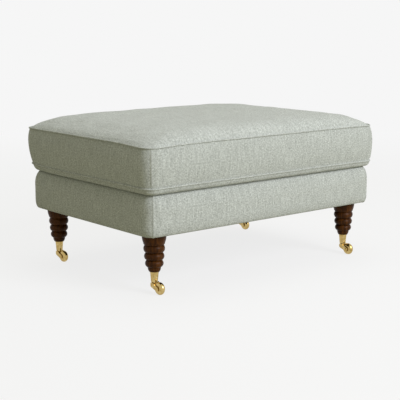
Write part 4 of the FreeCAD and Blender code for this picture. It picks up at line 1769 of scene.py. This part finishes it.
    def build_dust_cover(self) -> tuple[bpy.types.Object, float]:
        """Make the sheet under the frame, which sags a little between its staples.

        Returns:
            The sheet and its flat area.
        """
        low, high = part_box("dust_cover")
        outline = Outline(high.x, high.y, self.corner - (self.length / 2 - high.x))
        flat, triangles = self.sheet_with_holes(outline)
        free = np.minimum(outline.depth_inside(flat), self.sag_reach) / self.sag_reach
        for middle in self.leg_middles():
            gap = np.linalg.norm(flat - middle, axis=1) - self.leg_hole
            free = np.minimum(free, np.clip(gap / self.sag_reach, 0, 1))
        sag = self.dust_sag * np.sin(free * QUARTER) ** 2
        sag = sag * (1 + 0.4 * ripple(flat, 90 * MM, 260 * MM, 51))
        surface = Surface()
        surface.add_points(np.column_stack([flat, (low.z + high.z) / 2 - sag]))
        surface.add_faces(triangles[:, ::-1], flat[triangles[:, ::-1]])
        sides = flat[triangles]
        first, second = sides[:, 1] - sides[:, 0], sides[:, 2] - sides[:, 0]
        area = np.abs(first[:, 0] * second[:, 1] - first[:, 1] * second[:, 0]).sum() / 2
        return surface.piece("dust_cover_cloth"), float(area)

    def dress_all(self) -> None:
        """Build every soft piece of the base and set it in place."""
        cover = self.build_cover()
        dress(cover, COVER_CLOTH, "root")
        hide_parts("base_cover")
        wadding = self.build_wadding()
        dress(wadding, WADDING, "root")
        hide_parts("side_wadding")
        low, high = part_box("hessian_sheet")
        under = high.z - self.hessian_thickness
        hessian = self.build_slab(
            "hessian_cloth", self.length / 2 - high.x, under, high.z, 0.2 * MM
        )
        dress(hessian, HESSIAN, "root")
        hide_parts("hessian_sheet")
        self.flat_size(hessian)
        low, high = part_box("deck_pad")
        pad = self.build_slab("deck_felt", self.length / 2 - high.x, low.z, high.z, 0.2 * MM)
        dress(pad, FELT, "root")
        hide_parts("deck_pad")
        low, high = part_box("deck_cloth")
        deck = self.build_slab("deck_lining", self.length / 2 - high.x, low.z, high.z, 0.3 * MM)
        dress(deck, DECK_LINING, "root")
        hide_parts("deck_cloth")
        self.flat_size(deck)
        dress(self.build_deck_seam(), THREAD, "root")
        dust, area = self.build_dust_cover()
        dress(dust, LINING, "root")
        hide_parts("dust_cover")
        low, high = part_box("dust_cover")
        log.info("padded base: cover, wadding, deck, hessian and dust cover")


@dataclass
class Legs:
    """The four turned legs and their castors, which are shown as they were turned and cast."""

    def dress_all(self) -> None:
        """Give the legs and castors their finishes."""
        for place in Place:
            dress_nodes(WALNUT, "leg_" + place.word)
            parts = ("castor_cup_", "castor_horn_", "wheel_axle_", "castor_wheel_")
            dress_nodes(BRASS, *(part + place.word for part in parts))
            dress_nodes(STEEL, "swivel_pin_" + place.word)
        dress_nodes(BRASS, "cup_screws")


@dataclass
class Carcase:
    """The hardwood frame, its fixings and its springs."""

    def dress_all(self) -> None:
        """Give the frame's pieces their finishes."""
        dress_nodes(RAIL_TIMBER, "front_rail", "back_rail")
        dress_nodes(SIDE_TIMBER, "left_rail", "right_rail", "centre_rail", "corner_dowels")
        dress_nodes(RAIL_TIMBER, *("corner_block_" + place.word for place in Place))
        metal = ("block_screws", "tee_nuts", "hanger_bolts", "zigzag_springs", "spring_clips")
        dress_nodes(STEEL, *metal, "staples", "zip_slider", "zip_pull")


@dataclass(frozen=True)
class FloorFinish(Finish):
    """A pale floor, seen near white and in the object's soft shadow."""

    title: ClassVar[str] = "pale_floor"
    seen: Colour = srgb(246, 246, 246)
    bounced: Colour = (0.43, 0.415, 0.29, 1.0)
    glow: float = 0.87
    near: float = 1.2
    far: float = 3.5

    def paint(self, graph: Graph) -> Wire:
        """Build the floor's shader.

        Args:
            graph: the graph to build it in.

        Returns:
            The shader's wire.
        """
        x = graph.add("SeparateXYZ", {}, {"Vector": graph.object_place()})
        away = x.length_with(x.sibling("Y")).eased(self.near, self.far)
        share = away * (1 - self.glow) + self.glow
        lit = graph.add("BsdfDiffuse", {}, {"Color": self.seen})
        glow = graph.add("Emission", {}, {"Color": self.seen})
        bright = graph.add("MixShader", {}, {0: share, 1: lit, 2: glow})
        plain = graph.add("BsdfDiffuse", {}, {"Color": self.bounced})
        return graph.add("MixShader", {}, {0: seen_directly(graph), 1: plain, 2: bright})


def seen_directly(graph: Graph) -> Wire:
    """Tell whether the camera, a mirror or a glass sees this.

    Args:
        graph: the graph to build it in.

    Returns:
        1 where it is seen, and else 0.
    """
    ray = graph.add("LightPath", {}, {}, "Is Camera Ray")
    glass = ray.sibling("Is Transmission Ray")
    return ray.larger(ray.sibling("Is Glossy Ray")).larger(glass)


@dataclass(frozen=True)
class Lamp:
    """A soft square lamp that faces the stool."""

    name: str
    place: tuple[float, float, float]
    size: float
    power: float
    colour: tuple[float, float, float] = (1.0, 1.0, 1.0)


@dataclass
class Studio:
    """A pale floor, soft light and the camera."""

    sky: float = 0.38
    sky_colour: Colour = (1.0, 0.98, 0.77, 1.0)
    lamps: tuple[Lamp, ...] = (
        Lamp("front_lamp", (0.9, -4.6, 2.7), 2.6, 215.0, (0.93, 0.94, 1.0)),
        Lamp("top_lamp", (0.3, 0.3, 3.4), 2.2, 27.0),
    )
    target: tuple[float, float, float] = (0.0, 0.0, 0.3)
    camera_place: tuple[float, float, float] = (-1.9709, -2.3754, 0.7440)
    azimuth: float = math.radians(-39.496)
    pitch: float = math.radians(10.375)
    sensor: float = 36.0
    lens: float = 91.575

    def build_floor(self) -> None:
        """Lay the floor."""
        reach = 60.0
        mesh = bpy.data.meshes.new("studio_floor")
        corners = [(-reach, -reach, 0), (reach, -reach, 0), (reach, reach, 0), (-reach, reach, 0)]
        mesh.from_pydata(corners, [], [(0, 1, 2, 3)])
        mesh.materials.append(FloorFinish().material())
        floor = bpy.data.objects.new("studio_floor", mesh)
        bpy.context.scene.collection.objects.link(floor)

    def build_world(self) -> None:
        """Set the even light that comes from all round."""
        world = bpy.data.worlds.new("studio")
        world.use_nodes = True
        bpy.context.scene.world = world
        graph = Graph(world.node_tree)
        dim = graph.add("Background", {}, {"Color": self.sky_colour, "Strength": self.sky})
        white = graph.add("Background", {}, {"Color": srgb(246, 246, 246), "Strength": 1.0})
        mixed = graph.add("MixShader", {}, {0: seen_directly(graph), 1: dim, 2: white})
        graph.add("OutputWorld", {}, {"Surface": mixed})

    def add_lamp(self, lamp: Lamp) -> None:
        """Add a lamp.

        Args:
            lamp: the lamp's sizes.
        """
        data = bpy.data.lights.new(lamp.name, "AREA")
        data.energy = lamp.power
        data.color = lamp.colour
        data.size = lamp.size
        made = bpy.data.objects.new(lamp.name, data)
        made.location = lamp.place
        way = Vector(self.target) - made.location
        made.rotation_euler = way.to_track_quat("-Z", "Y").to_euler()
        bpy.context.scene.collection.objects.link(made)

    def build_camera(self) -> None:
        """Set the camera where the photograph was taken from."""
        data = bpy.data.cameras.new("camera")
        data.sensor_width = self.sensor
        data.lens = self.lens
        camera = bpy.data.objects.new("camera", data)
        camera.location = self.camera_place
        camera.rotation_euler = (QUARTER - self.pitch, 0.0, self.azimuth)
        bpy.context.scene.collection.objects.link(camera)
        bpy.context.scene.camera = camera

    def build(self) -> None:
        """Build the whole studio."""
        self.build_camera()
        self.build_floor()
        self.build_world()
        for lamp in self.lamps:
            self.add_lamp(lamp)
        bpy.context.scene.view_settings.view_transform = "Standard"
        log.info("studio: floor, sky, %d lamps and the camera", len(self.lamps))


def main() -> None:
    """Build the studio and dress every part of the stool."""
    logging.basicConfig(level=logging.INFO, format="%(message)s")
    Studio().build()
    Cushion().dress_all()
    Zip().dress_all()
    PaddedBase().dress_all()
    Legs().dress_all()
    Carcase().dress_all()


if __name__ == "__main__":
    main()
